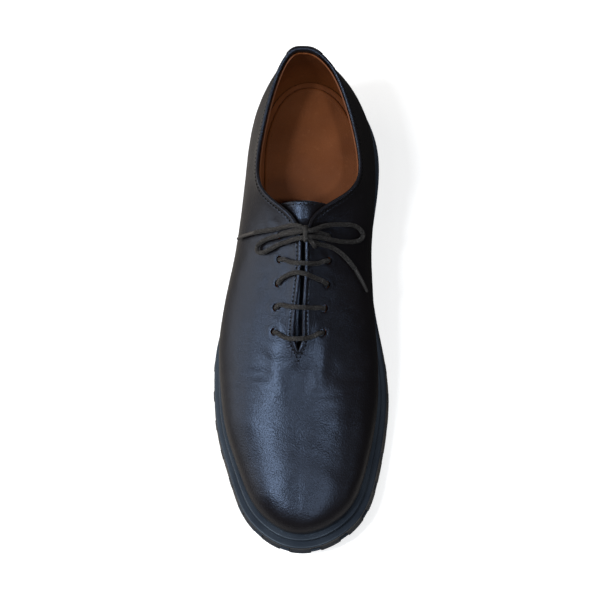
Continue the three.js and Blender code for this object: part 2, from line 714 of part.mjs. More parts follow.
// Back tab: a strip folded over the collar's edge, and stitched down inside and out
function buildTab() {
  const stations = [-1, -0.75, -0.5, -0.25, 0, 0.25, 0.5, 0.75, 1];
  const tabTurn = turnWhereSpread(tabWidth / 2);
  const points = [];
  const faces = [];
  let ring = 0;
  for (const station of stations) {
    const side = station < 0 ? -1 : 1;
    const turn = Math.max(1e-4, Math.abs(station) * tabTurn);
    const foot = skinPoint(turn, side, 0);
    const depth = tabDepth / foot.distanceTo(skinPoint(turn, side, 1));
    const climbs = [1 - depth, 1 - depth / 2, 1];
    const wall = climbs.map((climb) => ({
      at: skinPoint(turn, side, climb),
      out: skinNormal(turn, side, Math.min(climb, 0.998)),
    }));
    for (const spot of wall) if (spot.out.dot(outwardAt(turn, side)) < 0) spot.out.negate();
    const upward = wall[2].at.clone().sub(wall[1].at).normalize();
    const offset = (spot, reach) => spot.at.clone().addScaledVector(spot.out, reach);
    const crest = (rise) => offset(wall[2], -upperWall / 2).addScaledVector(upward, rise);
    const rimRise = upperWall * beadShare + collarBead + clearance;
    const near = clearance * 1.5;
    const far = near + tabThickness;
    const section = [
      ...wall.map((spot) => offset(spot, far)),
      crest(rimRise + tabThickness),
      ...wall.map((spot) => offset(spot, -upperWall - far)).reverse(),
      ...wall.map((spot) => offset(spot, -upperWall - near)),
      crest(rimRise),
      ...wall.map((spot) => offset(spot, near)).reverse(),
    ];
    ring = section.length;
    points.push(...section);
  }
  const count = stations.length;
  for (let i = 0; i < count - 1; i += 1) {
    for (let j = 0; j < ring; j += 1) {
      const next = (j + 1) % ring;
      const [a, b] = [i * ring + j, i * ring + next];
      faces.push([a, b, a + ring], [b, b + ring, a + ring]);
    }
  }
  const half = ring / 2;
  for (const [start, flip] of [[0, false], [(count - 1) * ring, true]]) {
    for (let j = 0; j < half - 1; j += 1) {
      const quad = [j, j + 1, ring - 2 - j, ring - 1 - j].map((k) => start + k);
      const order = flip ? quad : [quad[0], quad[3], quad[2], quad[1]];
      faces.push([order[0], order[1], order[2]], [order[0], order[2], order[3]]);
    }
  }
  return solidFrom(points, faces);
}

function outwardAt(turn, side) {
  const foot = featherPoint(turn, side);
  return new THREE.Vector3(foot.outAcross, -foot.outAlong, 0);
}

function turnWhereSpread(reach) {
  let [from, to] = [0, turnAt(0.16)];
  for (let round = 0; round < 30; round += 1) {
    const middle = (from + to) / 2;
    if ((rib.spread(middle) * collarWidth) / 2 < reach) from = middle;
    else to = middle;
  }
  return from;
}
addPiece('back_tab', buildTab(), materials.leather);

// Outsole: a plate with a banded edge, lugs round the forefoot and stars down its middle
function outsoleBody() {
  const band = (along) => soleTop(along) - edgeBand;
  const notchTop = (along) => Math.max(treadHeight(along) + 1, soleTop(along) - edgeBand - edgeGroove);
  return toSolid(
    slabAlong(
      [
        { reach: soleReach, height: soleTop },
        { reach: soleReach, height: (along) => Math.max(treadHeight(along) + 2, band(along)) },
        { reach: (turn) => soleReach(turn) - edgeGroove, height: (along) => notchTop(along) },
        { reach: (turn) => soleReach(turn) - edgeGroove * 2, height: treadHeight },
      ],
      0,
      1,
    ),
  );
}

function boxAt(size, along, across, top, angle) {
  const box = new THREE.BoxGeometry(...size);
  box.rotateZ(angle);
  const at = place(along, across, top - size[2] / 2);
  box.translate(at.x, at.y, at.z);
  return toSolid(box);
}

// Notches between the lugs along one stretch of the edge, a pitch apart measured on the outline
function edgeNotches(reachOf, fromTurn, toTurn, topOf) {
  const notches = [];
  for (const side of [1, -1]) {
    let walked = lugPitch / 2;
    let before = edgePoint(fromTurn, side, reachOf(fromTurn));
    const steps = 600;
    for (let i = 1; i <= steps; i += 1) {
      const turn = fromTurn + ((toTurn - fromTurn) * i) / steps;
      const here = edgePoint(turn, side, reachOf(turn));
      walked += Math.hypot(here.along - before.along, here.across - before.across);
      before = here;
      if (walked >= lugPitch) {
        walked -= lugPitch;
        const point = featherPoint(turn, side);
        const middle = edgePoint(turn, side, reachOf(turn) + overlapForCut - (lugReach + overlapForCut) / 2);
        const size = [lugReach + overlapForCut, lugGap, lugDepth + overlapForCut];
        const angle = Math.atan2(-point.outAlong, point.outAcross);
        const top = topOf(middle.along) + lugDepth;
        notches.push(boxAt(size, middle.along, middle.across, top, angle));
      }
    }
  }
  return notches;
}

const lugsFromTurn = turnAt(lugsFrom);
const wellFromTurn = turnAt(wellFrom);
const wellToTurn = turnAt(wellTo);

function buildOutsole() {
  let body = outsoleBody();
  for (const notch of edgeNotches(soleReach, lugsFromTurn, 1, treadHeight)) body = body.subtract(notch);
  const wellReach = (turn) => soleReach(turn) - lugReach - overlapForCut;
  const well = slabAlong(
    [
      { reach: wellReach, height: (along) => treadHeight(along) + lugDepth },
      { reach: wellReach, height: (along) => treadHeight(along) - overlapForCut },
    ],
    wellFromTurn,
    wellToTurn,
  );
  body = body.subtract(toSolid(well));
  const firstStar = shareAt(wellFromTurn) * lastLength + starSize * 1.1;
  for (let star = 0; star < starCount; star += 1) {
    const along = firstStar + star * lugPitch;
    const across = planSwing(turnAt(along / lastLength)) * ballWidth;
    const top = treadHeight(along) + lugDepth + overlapForCut;
    const foot = Math.max(treadHeight(along - starSize / 2), treadHeight(along + starSize / 2));
    for (const angle of [Math.PI / 4, -Math.PI / 4]) {
      body = body.add(boxAt([starSize, starArm, top - foot], along, across, top, angle));
    }
  }
  return toGeometry(body);
}
addPiece('outsole', buildOutsole(), materials.rubber);

// Heel block under the outsole, with a straight breast and lugs round its foot
function buildHeel() {
  const top = (along) => treadHeight(along) - clearance;
  const footReach = (turn) => soleReach(turn) - edgeGroove * 2 - heelDraft;
  const breastTurn = turnAt(heelBreast / lastLength);
  let block = toSolid(
    slabAlong(
      [
        { reach: (turn) => soleReach(turn) - edgeGroove * 2, height: top },
        { reach: footReach, height: () => 0 },
      ],
      0,
      breastTurn,
    ),
  );
  for (const notch of edgeNotches(footReach, 0, breastTurn, () => 0)) block = block.subtract(notch);
  return toGeometry(block);
}
addPiece('heel', buildHeel(), materials.rubber);

// Lace bars across the slit.
// pair: the eyelets that the bar joins, from the throat down; bend: how far its middle bows towards the heel
const BARS = [
  { name: 'lace_bar_top', pair: 0, bend: 0 },
  { name: 'lace_bar_1', pair: 1, bend: -2.7 },
  { name: 'lace_bar_2', pair: 2, bend: 4.2 },
  { name: 'lace_bar_3', pair: 3, bend: -2 },
  { name: 'lace_bar_4', pair: 4, bend: -4.2 },
];

function laceAlong(points, diameter, steps) {
  const corners = Array.from({ length: laceSides }, (_, i) => {
    const angle = (2 * Math.PI * i) / laceSides;
    return new THREE.Vector2(Math.cos(angle), Math.sin(angle)).multiplyScalar(diameter / 2);
  });
  const extrudePath = new THREE.CatmullRomCurve3(points, false, 'centripetal');
  return new THREE.ExtrudeGeometry(new THREE.Shape(corners), { steps, extrudePath, bevelEnabled: false });
}

// Height of a lace's middle where it lies on the upper, and where it crosses the slit's two rims
const laceLift = laceDiameter / 2 + clearance * 1.5;

function laceHeight(along, across) {
  const side = across > slitMiddle(along) ? 1 : -1;
  const found = climbTo(along, across, side);
  const point = skinPoint(found.turn, side, found.climb);
  return point.z + laceLift / skinNormal(found.turn, side, found.climb).z;
}

function bridgeHeight(along) {
  const tops = turns.map((turn) => topPoint(turn, 1));
  const near = tops.filter((top) => Math.abs(top.along - along) < eyeletPitch / 2);
  return Math.max(...near.map((top) => top.height)) + collarBead + laceLift;
}

const barShares = [-1, -0.8, -0.6, -0.4, -0.2, 0, 0.2, 0.4, 0.6, 0.8, 1];
const rimShare = 0.25;
const barSteps = 14;
for (const bar of BARS) {
  const [inner, outer] = eyelets.filter((eyelet) => eyelet.pair === bar.pair);
  const across = (share) => THREE.MathUtils.lerp(outer.across, inner.across, (share + 1) / 2);
  const along = (share) => inner.along + (outer.along - inner.along) / 2 - bar.bend * (1 - share * share);
  const points = barShares.map((share) => {
    const onRim = Math.abs(share) < rimShare;
    const height = onRim ? bridgeHeight(along(share)) : laceHeight(along(share), across(share));
    return place(along(share), across(share), height);
  });
  addPiece(bar.name, laceAlong(points, laceDiameter, barSteps), materials.lace);
}

// Bow: its knot, its two loops, its two ends and their aglets.
// points: the route's middle, each x, y and z
const knotMiddle = [4.7, 24.1, 92.8];
const knotSize = [4.4, 8.6, 5.6];
const agletDiameter = 2.2;

const LOOSE_LACES = [
  {
    name: 'lace_loop_left',
    diameter: laceDiameter,
    steps: 18,
    points: [
      [1.7, 25.2, 93.5], [-3, 25.3, 90.9], [-8, 25.9, 86.4], [-13, 25.9, 82], [-18, 26.5, 75.8],
      [-22, 26, 72.1], [-24.8, 23.9, 69.4], [-25.3, 21.2, 68.5], [-23.6, 19.3, 69.5], [-20.6, 19.2, 71.8],
      [-16.5, 20.6, 74.9], [-11.5, 22.2, 79], [-6, 22.3, 83.4], [-1.5, 22.1, 88.9], [1.7, 21.9, 91.7],
    ],
  },
  {
    name: 'lace_loop_right',
    diameter: laceDiameter,
    steps: 22,
    points: [
      [7.8, 26, 93.4], [10.7, 27.7, 91], [14, 30.6, 87.1], [18, 33.2, 82], [22.5, 35.2, 77.3],
      [27, 36.6, 73.3], [31.5, 37.6, 69.2], [35.5, 37, 65.1], [37.8, 34.4, 61.9], [37, 31.4, 62.3],
      [33, 28.6, 65.5], [28, 26.8, 70.1], [22.5, 25.7, 75.3], [17.7, 24.9, 80.8], [12.5, 24.4, 85.5],
      [7.8, 22.9, 91.8],
    ],
  },
  {
    name: 'lace_end_left',
    diameter: laceDiameter,
    steps: 12,
    points: [
      [1.7, 28.7, 92.8], [-3, 29.9, 90.8], [-8, 31, 84.5], [-13.5, 31.2, 79.7], [-19, 31.6, 75.4],
      [-24, 32.2, 71.4], [-27.2, 32.4, 68.5],
    ],
  },
  {
    name: 'lace_end_right',
    diameter: laceDiameter,
    steps: 12,
    points: [
      [7.8, 21, 88.4], [11.5, 21.2, 83.6], [15, 21.4, 80.1], [19.5, 21.3, 76.4], [24, 19.8, 72.5],
      [28.5, 17, 68.1], [33.2, 12.6, 63.2],
    ],
  },
  {
    name: 'aglet_left',
    diameter: agletDiameter,
    steps: 4,
    points: [[-27.5, 32.4, 68.3], [-32, 32.6, 63.7], [-35.5, 32.7, 59.6], [-38.3, 32.8, 55.1]],
  },
  {
    name: 'aglet_right',
    diameter: agletDiameter,
    steps: 4,
    points: [[33.5, 12.3, 62.9], [36, 8.7, 59.8], [38.4, 5.2, 56.6], [40.7, 1.6, 52.4]],
  },
];

for (const lace of LOOSE_LACES) {
  const points = lace.points.map((point) => new THREE.Vector3(...point));
  addPiece(lace.name, laceAlong(points, lace.diameter, lace.steps), materials.lace);
}

const knot = new THREE.SphereGeometry(0.5, 12, 8);
knot.scale(...knotSize);
knot.translate(...knotMiddle);
addPiece('lace_knot', toGeometry(toSolid(knot)), materials.lace);

export default shoe;
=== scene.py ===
"""Right wholecut oxford shoe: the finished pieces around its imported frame."""
import logging
import math
from dataclasses import dataclass, field
from enum import Enum
from typing import Callable, Sequence

import bmesh
import bpy
import numpy as np
from mathutils import Matrix, Vector


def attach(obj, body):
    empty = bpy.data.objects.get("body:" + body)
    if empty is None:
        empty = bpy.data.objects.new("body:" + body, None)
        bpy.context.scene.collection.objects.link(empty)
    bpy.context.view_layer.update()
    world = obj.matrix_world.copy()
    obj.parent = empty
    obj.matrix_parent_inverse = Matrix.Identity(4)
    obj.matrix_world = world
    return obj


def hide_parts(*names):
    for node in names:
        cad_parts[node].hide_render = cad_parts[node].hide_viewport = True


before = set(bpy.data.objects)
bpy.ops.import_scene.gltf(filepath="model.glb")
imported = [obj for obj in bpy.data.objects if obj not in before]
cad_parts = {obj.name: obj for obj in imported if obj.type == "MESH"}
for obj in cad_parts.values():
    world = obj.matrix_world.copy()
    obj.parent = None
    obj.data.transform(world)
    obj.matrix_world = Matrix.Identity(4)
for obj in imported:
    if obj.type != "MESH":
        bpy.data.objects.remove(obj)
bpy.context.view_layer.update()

LOG = logging.getLogger("shoe")
MM = 0.001

# The feather line in plan: along the last, half width, swing and sole edge, all shares
PLAN = (
    (0.0, 0.0, 0.0, 0.56),
    (0.03, 0.415, 0.004, 0.56),
    (0.08, 0.615, 0.013, 0.56),
    (0.16, 0.75, 0.025, 0.56),
    (0.26, 0.75, 0.023, 0.55),
    (0.36, 0.725, 0.003, 0.55),
    (0.44, 0.762, -0.012, 0.56),
    (0.52, 0.86, -0.028, 0.6),
    (0.6, 0.965, -0.032, 0.66),
    (0.69, 1.0, -0.017, 0.7),
    (0.775, 0.95, -0.007, 0.72),
    (0.86, 0.815, 0.013, 0.8),
    (0.945, 0.59, 0.025, 0.94),
    (0.98, 0.365, 0.022, 0.98),
    (1.0, 0.0, 0.016, 1.0),
)

# The last's bottom from the side: along, drop of the arch, toe spring and gauge of the sole, all shares
PROFILE = (
    (-0.03, 1.0, 0.0, 0.46),
    (0.1, 0.99, 0.0, 0.46),
    (0.2, 0.94, 0.0, 0.46),
    (0.28, 0.84, 0.0, 0.47),
    (0.36, 0.69, 0.0, 0.53),
    (0.44, 0.49, 0.0, 0.68),
    (0.52, 0.27, 0.0, 0.88),
    (0.6, 0.1, 0.0, 1.02),
    (0.68, 0.01, 0.0, 1.03),
    (0.74, 0.0, 0.01, 1.02),
    (0.8, 0.0, 0.05, 1.0),
    (0.86, 0.0, 0.17, 0.95),
    (0.92, 0.0, 0.42, 0.88),
    (0.96, 0.0, 0.68, 0.83),
    (1.03, 0.0, 1.2, 0.78),
)

# Tops of the ribs: foot along, top along, spread, drift, tilt, back height and instep height, all shares
RIB_TOPS = (
    (0.0, 0.016, 0.0, -0.028, 0.0, 1.0, 0.0),
    (0.03, 0.026, 0.29, -0.016, 0.0, 0.988, 0.0),
    (0.08, 0.059, 0.53, 0.008, 0.003, 0.935, 0.0),
    (0.16, 0.131, 0.775, 0.028, 0.012, 0.847, 0.0),
    (0.26, 0.235, 0.97, 0.044, 0.022, 0.776, 0.0),
    (0.36, 0.315, 0.835, 0.034, 0.012, 0.45, 0.383),
    (0.4, 0.341, 0.6, 0.014, 0.004, 0.26, 0.63),
    (0.435, 0.363, 0.36, 0.004, 0.0, 0.12, 0.82),
    (0.465, 0.381, 0.215, 0.009, 0.0, 0.04, 0.93),
    (0.49, 0.396, 0.15, 0.016, 0.0, 0.0, 0.99),
    (0.52, 0.419, 0.09, 0.021, 0.0, 0.0, 0.992),
    (0.56, 0.46, 0.077, 0.023, 0.0, 0.0, 0.952),
    (0.62, 0.526, 0.085, 0.005, 0.0, 0.0, 0.88),
    (0.68, 0.595, 0.105, -0.016, 0.0, 0.0, 0.775),
    (0.71, 0.626, 0.078, -0.015, 0.0, 0.0, 0.724),
    (0.73, 0.647, 0.0, -0.014, 0.0, 0.0, 0.69),
    (0.79, 0.709, 0.0, -0.009, 0.0, 0.0, 0.605),
    (0.86, 0.775, 0.0, -0.003, 0.0, 0.0, 0.528),
    (0.93, 0.837, 0.0, 0.005, 0.0, 0.0, 0.467),
    (0.98, 0.874, 0.0, 0.01, 0.0, 0.0, 0.429),
    (1.0, 0.886, 0.0, 0.011, 0.0, 0.0, 0.414),
)

# Bends of the ribs: foot along, lean and fall in degrees, reach of the low and high ends
RIB_BENDS = (
    (0.0, 18, 83, 0.38, 0.3),
    (0.03, 18, 82, 0.38, 0.3),
    (0.08, 20, 80, 0.38, 0.3),
    (0.16, 24, 77, 0.4, 0.3),
    (0.26, 36, 74, 0.43, 0.3),
    (0.36, 46, 64, 0.45, 0.32),
    (0.4, 46, 58, 0.45, 0.33),
    (0.435, 45, 54, 0.44, 0.33),
    (0.465, 43, 50, 0.43, 0.32),
    (0.49, 40, 47, 0.42, 0.31),
    (0.52, 36, 43, 0.41, 0.3),
    (0.56, 30, 37, 0.4, 0.3),
    (0.62, 22, 29, 0.39, 0.33),
    (0.68, 14, 17, 0.39, 0.37),
    (0.71, 12, 11, 0.39, 0.39),
    (0.73, 11, 6, 0.39, 0.4),
    (0.79, 9, 0, 0.4, 0.44),
    (0.86, 8, 0, 0.41, 0.46),
    (0.93, 7, 0, 0.42, 0.48),
    (0.98, 6, 0, 0.42, 0.5),
    (1.0, 5, 0, 0.42, 0.5),
)


@dataclass(frozen=True)
class Column:
    """A smooth curve through one column of a table."""

    places: np.ndarray
    values: np.ndarray
    bend: np.ndarray

    @staticmethod
    def through(places: Sequence[float], values: Sequence[float], level_ends: bool) -> "Column":
        """Fits the curve.

        Args:
            places: where the table's rows stand.
            values: the column's value in each row.
            level_ends: whether the curve runs level at both ends.

        Returns:
            The fitted curve.
        """
        x = np.asarray(places, float)
        y = np.asarray(values, float)
        span = np.diff(x)
        rise = np.diff(y) / span
        last = len(x) - 1
        system = np.eye(last + 1)
        right = np.zeros(last + 1)
        for i in range(1, last):
            system[i, i - 1:i + 2] = [span[i - 1], 2 * (span[i - 1] + span[i]), span[i]]
            right[i] = 6 * (rise[i] - rise[i - 1])
        if level_ends:
            system[0, :2] = [2 * span[0], span[0]]
            right[0] = 6 * rise[0]
            system[last, last - 1:] = [span[-1], 2 * span[-1]]
            right[last] = -6 * rise[-1]
        return Column(x, y, np.linalg.solve(system, right))

    def __call__(self, place: np.ndarray | float) -> np.ndarray:
        """The curve's value at one or more places."""
        at = np.asarray(place, float)
        i = np.searchsorted(self.places[1:-1], at, side="left")
        span = self.places[i + 1] - self.places[i]
        before = (self.places[i + 1] - at) / span
        after = 1 - before
        curve = (before ** 3 - before) * self.bend[i] + (after ** 3 - after) * self.bend[i + 1]
        return before * self.values[i] + after * self.values[i + 1] + curve * span ** 2 / 6


def turn_at(share: np.ndarray | float) -> np.ndarray:
    """The turn, 0 at the heel and 1 at the toe, of a share of the last's length."""
    return np.arccos(1 - 2 * np.clip(share, 0, 1)) / math.pi


def share_at(turn: np.ndarray | float) -> np.ndarray:
    """The share of the last's length at a turn."""
    return (1 - np.cos(math.pi * np.asarray(turn, float))) / 2


def smooth_step(start: float, end: float, value: np.ndarray) -> np.ndarray:
    """0 before start, 1 after end, and a smooth way between."""
    t = np.clip((np.asarray(value, float) - start) / (end - start), 0, 1)
    return t * t * (3 - 2 * t)


def unit(vectors: np.ndarray) -> np.ndarray:
    """The vectors at length 1."""
    return vectors / np.maximum(np.linalg.norm(vectors, axis=-1, keepdims=True), 1e-12)


@dataclass
class Last:
    """The foot form that the upper is pulled over, in millimetres, and the surfaces that follow it."""

    length: float = 289
    ball_width: float = 95
    collar_width: float = 65
    heel_height: float = 35
    fore_height: float = 20
    toe_spring: float = 8.6
    back_height: float = 60
    instep_height: float = 58.5
    wall: float = 2.2
    slit_end: float = 0.73
    throat_foot: float = 0.49
    collar_front_foot: float = 0.36
    sole_edge: float = 8.2
    midsole_edge: float = 3.8
    midsole_thickness: float = 3.4
    sole_thickness: float = 16
    clearance: float = 0.3

    def __post_init__(self) -> None:
        """Fits the tables' curves and finds the middle of the sole's box."""
        by_turn = [float(turn_at(row[0])) for row in PLAN]
        self.half = Column.through(by_turn, [row[1] for row in PLAN], False)
        self.swing = Column.through(by_turn, [row[2] for row in PLAN], True)
        self.edge = Column.through(by_turn, [row[3] for row in PLAN], True)
        places = [row[0] for row in PROFILE]
        self.arch, self.spring, self.gauge = (
            Column.through(places, [row[i] for row in PROFILE], False) for i in (1, 2, 3))
        by_turn = [float(turn_at(row[0])) for row in RIB_TOPS]
        self.top, self.spread, self.drift, self.tilt, self.back, self.instep = (
            Column.through(by_turn, [row[i] for row in RIB_TOPS], i != 2) for i in range(1, 7))
        self.lean, self.fall, self.low, self.high = (
            Column.through(by_turn, [row[i] for row in RIB_BENDS], True) for i in range(1, 5))
        self.slit_end_turn = float(turn_at(self.slit_end))
        self.throat_turn = float(turn_at(self.throat_foot))
        self.collar_front_turn = float(turn_at(self.collar_front_foot))
        turns = np.linspace(0, 1, 401)
        outline = np.vstack([np.stack(self.edge_at(turns, side, self.sole_reach(turns)), 1) for side in (1, -1)])
        self.middle = (outline.min(0) + outline.max(0)) / 2
        self.throat_along = float(self.rib_top(np.array([self.throat_turn]), 1)[0][0])

    def seat(self, along: np.ndarray) -> np.ndarray:
        """Height of the last's bottom over the floor."""
        share = np.asarray(along, float) / self.length
        drop = (self.heel_height - self.fore_height) * np.maximum(0, self.arch(share))
        return self.fore_height + drop + self.toe_spring * np.maximum(0, self.spring(share))

    def sole_top(self, along: np.ndarray) -> np.ndarray:
        """Height of the outsole's top."""
        return self.seat(along) - 2 * self.clearance - self.midsole_thickness

    def tread(self, along: np.ndarray) -> np.ndarray:
        """Height of the tread's lowest face."""
        share = np.asarray(along, float) / self.length
        return np.maximum(0, self.sole_top(along) - self.gauge(share) * self.sole_thickness)

    def sole_reach(self, turn: np.ndarray) -> np.ndarray:
        """How far the outsole stands past the feather line."""
        return self.edge(turn) * self.sole_edge

    def midsole_reach(self, turn: np.ndarray) -> np.ndarray:
        """How far the midsole stands past the feather line."""
        return self.edge(turn) * self.midsole_edge

    def feather(self, turn: np.ndarray, side: int) -> tuple[np.ndarray, np.ndarray, np.ndarray, np.ndarray]:
        """The feather line, where the upper meets the sole.

        Args:
            turn: places from the heel, 0, to the toe, 1.
            side: 1 on the inner side and -1 on the outer.

        Returns:
            Places along and across, and the outward direction along and across.
        """
        turn = np.asarray(turn, float)

        def across(at: np.ndarray) -> np.ndarray:
            """Distance across to one side's edge, at places along the last."""
            return self.swing(at) * self.ball_width + side * self.half(at) * self.ball_width / 2

        step = 1e-4
        start, end = np.maximum(0, turn - step), np.minimum(1, turn + step)
        forward = self.length * (share_at(end) - share_at(start))
        sideways = across(end) - across(start)
        size = np.hypot(forward, sideways)
        out_along, out_across = -side * sideways / size, side * forward / size
        out_along = np.where(turn <= step, -1, np.where(turn >= 1 - step, 1, out_along))
        out_across = np.where((turn <= step) | (turn >= 1 - step), 0, out_across)
        return self.length * share_at(turn), across(turn), out_along, out_across

    def edge_at(self, turn: np.ndarray, side: int, reach: np.ndarray | float) -> tuple[np.ndarray, np.ndarray]:
        """Places along and across that stand out from the feather line by a reach."""
        along, across, out_along, out_across = self.feather(turn, side)
        return along + out_along * reach, across + out_across * reach

    def place(self, along: np.ndarray, across: np.ndarray, height: np.ndarray) -> np.ndarray:
        """Points of the shoe's frame, in millimetres."""
        along, across, height = np.broadcast_arrays(along, across, height)
        return np.stack([across - self.middle[1], self.middle[0] - along, height], -1)

    def rib_top(self, turn: np.ndarray, side: int) -> tuple[np.ndarray, np.ndarray, np.ndarray]:
        """Where a rib ends, on the collar, the slit or the ridge."""
        along = self.top(turn) * self.length
        spread = np.where(turn >= self.slit_end_turn, 0, self.spread(turn) * self.collar_width / 2)
        height = (self.seat(along) + self.back(turn) * self.back_height
                  + self.instep(turn) * self.instep_height + side * self.tilt(turn) * self.collar_width)
        return along, self.drift(turn) * self.collar_width + side * spread, height

    def skin(self, turn: np.ndarray, side: int, climb: np.ndarray) -> np.ndarray:
        """The upper's outer surface.

        Args:
            turn: the rib, from 0 at the heel to 1 at the toe.
            side: 1 on the inner side and -1 on the outer.
            climb: 0 at the feather line to 1 at the rib's top.

        Returns:
            Points in millimetres.
        """
        turn, climb = np.broadcast_arrays(np.asarray(turn, float), np.asarray(climb, float))
        foot_along, foot_across, out_along, out_across = self.feather(turn, side)
        foot_height = self.seat(foot_along)
        along, across, height = self.rib_top(turn, side)
        apart = [foot_along - along, foot_across - across, foot_height - height]
        chord = np.sqrt(apart[0] ** 2 + apart[1] ** 2 + apart[2] ** 2)
        level = np.maximum(np.hypot(apart[0], apart[1]), 1e-9)
        lean, fall = np.radians(self.lean(turn)), np.radians(np.maximum(0, self.fall(turn)))
        slope_step = 0.03
        ahead = self.rib_top(np.minimum(1, turn + slope_step), side)
        behind = self.rib_top(np.maximum(0, turn - slope_step), side)
        on_ridge = smooth_step(self.collar_front_turn, self.throat_turn, turn)
        slope = on_ridge * (ahead[2] - behind[2]) / (ahead[0] - behind[0])
        low, high = self.low(turn) * chord, self.high(turn) * chord
        away = [apart[0] / level * np.cos(fall), apart[1] / level * np.cos(fall)]
        foot = self.place(foot_along, foot_across, foot_height)
        first = self.place(foot_along + low * np.sin(lean) * out_along,
                           foot_across + low * np.sin(lean) * out_across, foot_height + low * np.cos(lean))
        second = self.place(along + high * away[0], across + high * away[1],
                            height + high * (slope * away[0] - np.sin(fall)))
        top = self.place(along, across, height)
        t = climb[..., None]
        return ((1 - t) ** 3 * foot + 3 * (1 - t) ** 2 * t * first + 3 * (1 - t) * t ** 2 * second + t ** 3 * top)

    def normal(self, turn: np.ndarray, side: int, climb: np.ndarray) -> np.ndarray:
        """The outward direction of the upper's surface."""
        turn, climb = np.broadcast_arrays(np.asarray(turn, float), np.asarray(climb, float))
        step = 2e-3
        by_turn = (self.skin(np.minimum(1, turn + step), side, climb)
                   - self.skin(np.maximum(0, turn - step), side, climb))
        by_climb = (self.skin(turn, side, np.minimum(1, climb + step))
                    - self.skin(turn, side, np.maximum(0, climb - step)))
        return unit(-side * np.cross(by_turn, by_climb))

    def climb_to(self, along: np.ndarray, across: np.ndarray, side: int) -> tuple[np.ndarray, np.ndarray]:
        """Finds the rib and climb that stand over places in plan, on the upper's top half."""
        target = self.place(along, across, 0)[..., :2]
        turn = turn_at(np.asarray(along) / self.length + 0.07) + 0 * target[..., 0]
        climb = np.full_like(turn, 0.85)
        step = 1e-3
        for _ in range(25):
            here = self.skin(turn, side, climb)[..., :2]
            by_turn = (self.skin(turn + step, side, climb)[..., :2] - here) / step
            by_climb = (here - self.skin(turn, side, climb - step)[..., :2]) / step
            miss = target - here
            scale = by_turn[..., 0] * by_climb[..., 1] - by_turn[..., 1] * by_climb[..., 0]
            turn = turn + (miss[..., 0] * by_climb[..., 1] - miss[..., 1] * by_climb[..., 0]) / scale
            climb = climb + (by_turn[..., 0] * miss[..., 1] - by_turn[..., 1] * miss[..., 0]) / scale
            turn, climb = np.clip(turn, 0.05, 0.98), np.clip(climb, 0.3, 0.999)
        return turn, climb

    def slit_middle(self, along: np.ndarray) -> np.ndarray:
        """Where the slit's middle runs, across."""
        turns = np.linspace(self.throat_turn, 1, 400)
        return np.interp(np.maximum(along, self.throat_along), self.top(turns) * self.length,
                         self.drift(turns) * self.collar_width)


class Shading(Enum):
    """How a mesh's faces are shaded."""

    SMOOTH = "smooth"
    CREASED = "creased"


def build_mesh(name: str, points: np.ndarray, faces: Sequence[Sequence[int]], shading: Shading = Shading.SMOOTH,
               uv: np.ndarray | None = None, slots: Sequence[int] | None = None,
               crease_angle: float = 38) -> bpy.types.Object:
    """Makes a closed mesh from points in millimetres, with its doubles merged and its faces outwards.

    Args:
        name: the piece's name.
        points: the corners, in millimetres.
        faces: corner numbers of each face.
        shading: smooth, or smooth with creases past crease_angle.
        uv: a UV place for each corner.
        slots: the material slot of each face.
        crease_angle: in degrees.

    Returns:
        The new object.
    """
    mesh = bpy.data.meshes.new(name)
    mesh.from_pydata((np.asarray(points) * MM).tolist(), [], [list(map(int, face)) for face in faces])
    if uv is not None:
        layer = mesh.uv_layers.new(name="UVMap")
        corners = np.empty(len(mesh.loops), int)
        mesh.loops.foreach_get("vertex_index", corners)
        layer.data.foreach_set("uv", np.asarray(uv, float)[corners].ravel())
    if slots is not None:
        mesh.polygons.foreach_set("material_index", np.asarray(slots, np.int32))
    body = bmesh.new()
    body.from_mesh(mesh)
    bmesh.ops.remove_doubles(body, verts=body.verts, dist=2e-6)
    bmesh.ops.dissolve_degenerate(body, edges=body.edges, dist=1e-6)
    bmesh.ops.recalc_face_normals(body, faces=body.faces)
    body.to_mesh(mesh)
    body.free()
    mesh.shade_smooth()
    if shading is Shading.CREASED:
        mesh.set_sharp_from_angle(angle=math.radians(crease_angle))
    piece = bpy.data.objects.new(name, mesh)
    bpy.context.scene.collection.objects.link(piece)
    return piece


def bake_modifiers(piece: bpy.types.Object) -> bpy.types.Object:
    """Turns what a piece's modifiers make into its plain mesh."""
    graph = bpy.context.evaluated_depsgraph_get()
    mesh = bpy.data.meshes.new_from_object(piece.evaluated_get(graph))
    mesh.name = piece.name
    if piece.type == "MESH":
        piece.modifiers.clear()
        piece.data = mesh
        return piece
    name = piece.name
    bpy.data.objects.remove(piece, do_unlink=True)
    made = bpy.data.objects.new(name, mesh)
    bpy.context.scene.collection.objects.link(made)
    return made


def ring_faces(rings: int, size: int, closed_run: bool) -> list[tuple[int, int, int, int]]:
    """Faces between rings of corners that follow each other."""
    count = rings if closed_run else rings - 1
    starts = [(i * size, (i + 1) % rings * size) for i in range(count)]
    return [(here + j, here + (j + 1) % size, there + (j + 1) % size, there + j)
            for here, there in starts for j in range(size)]


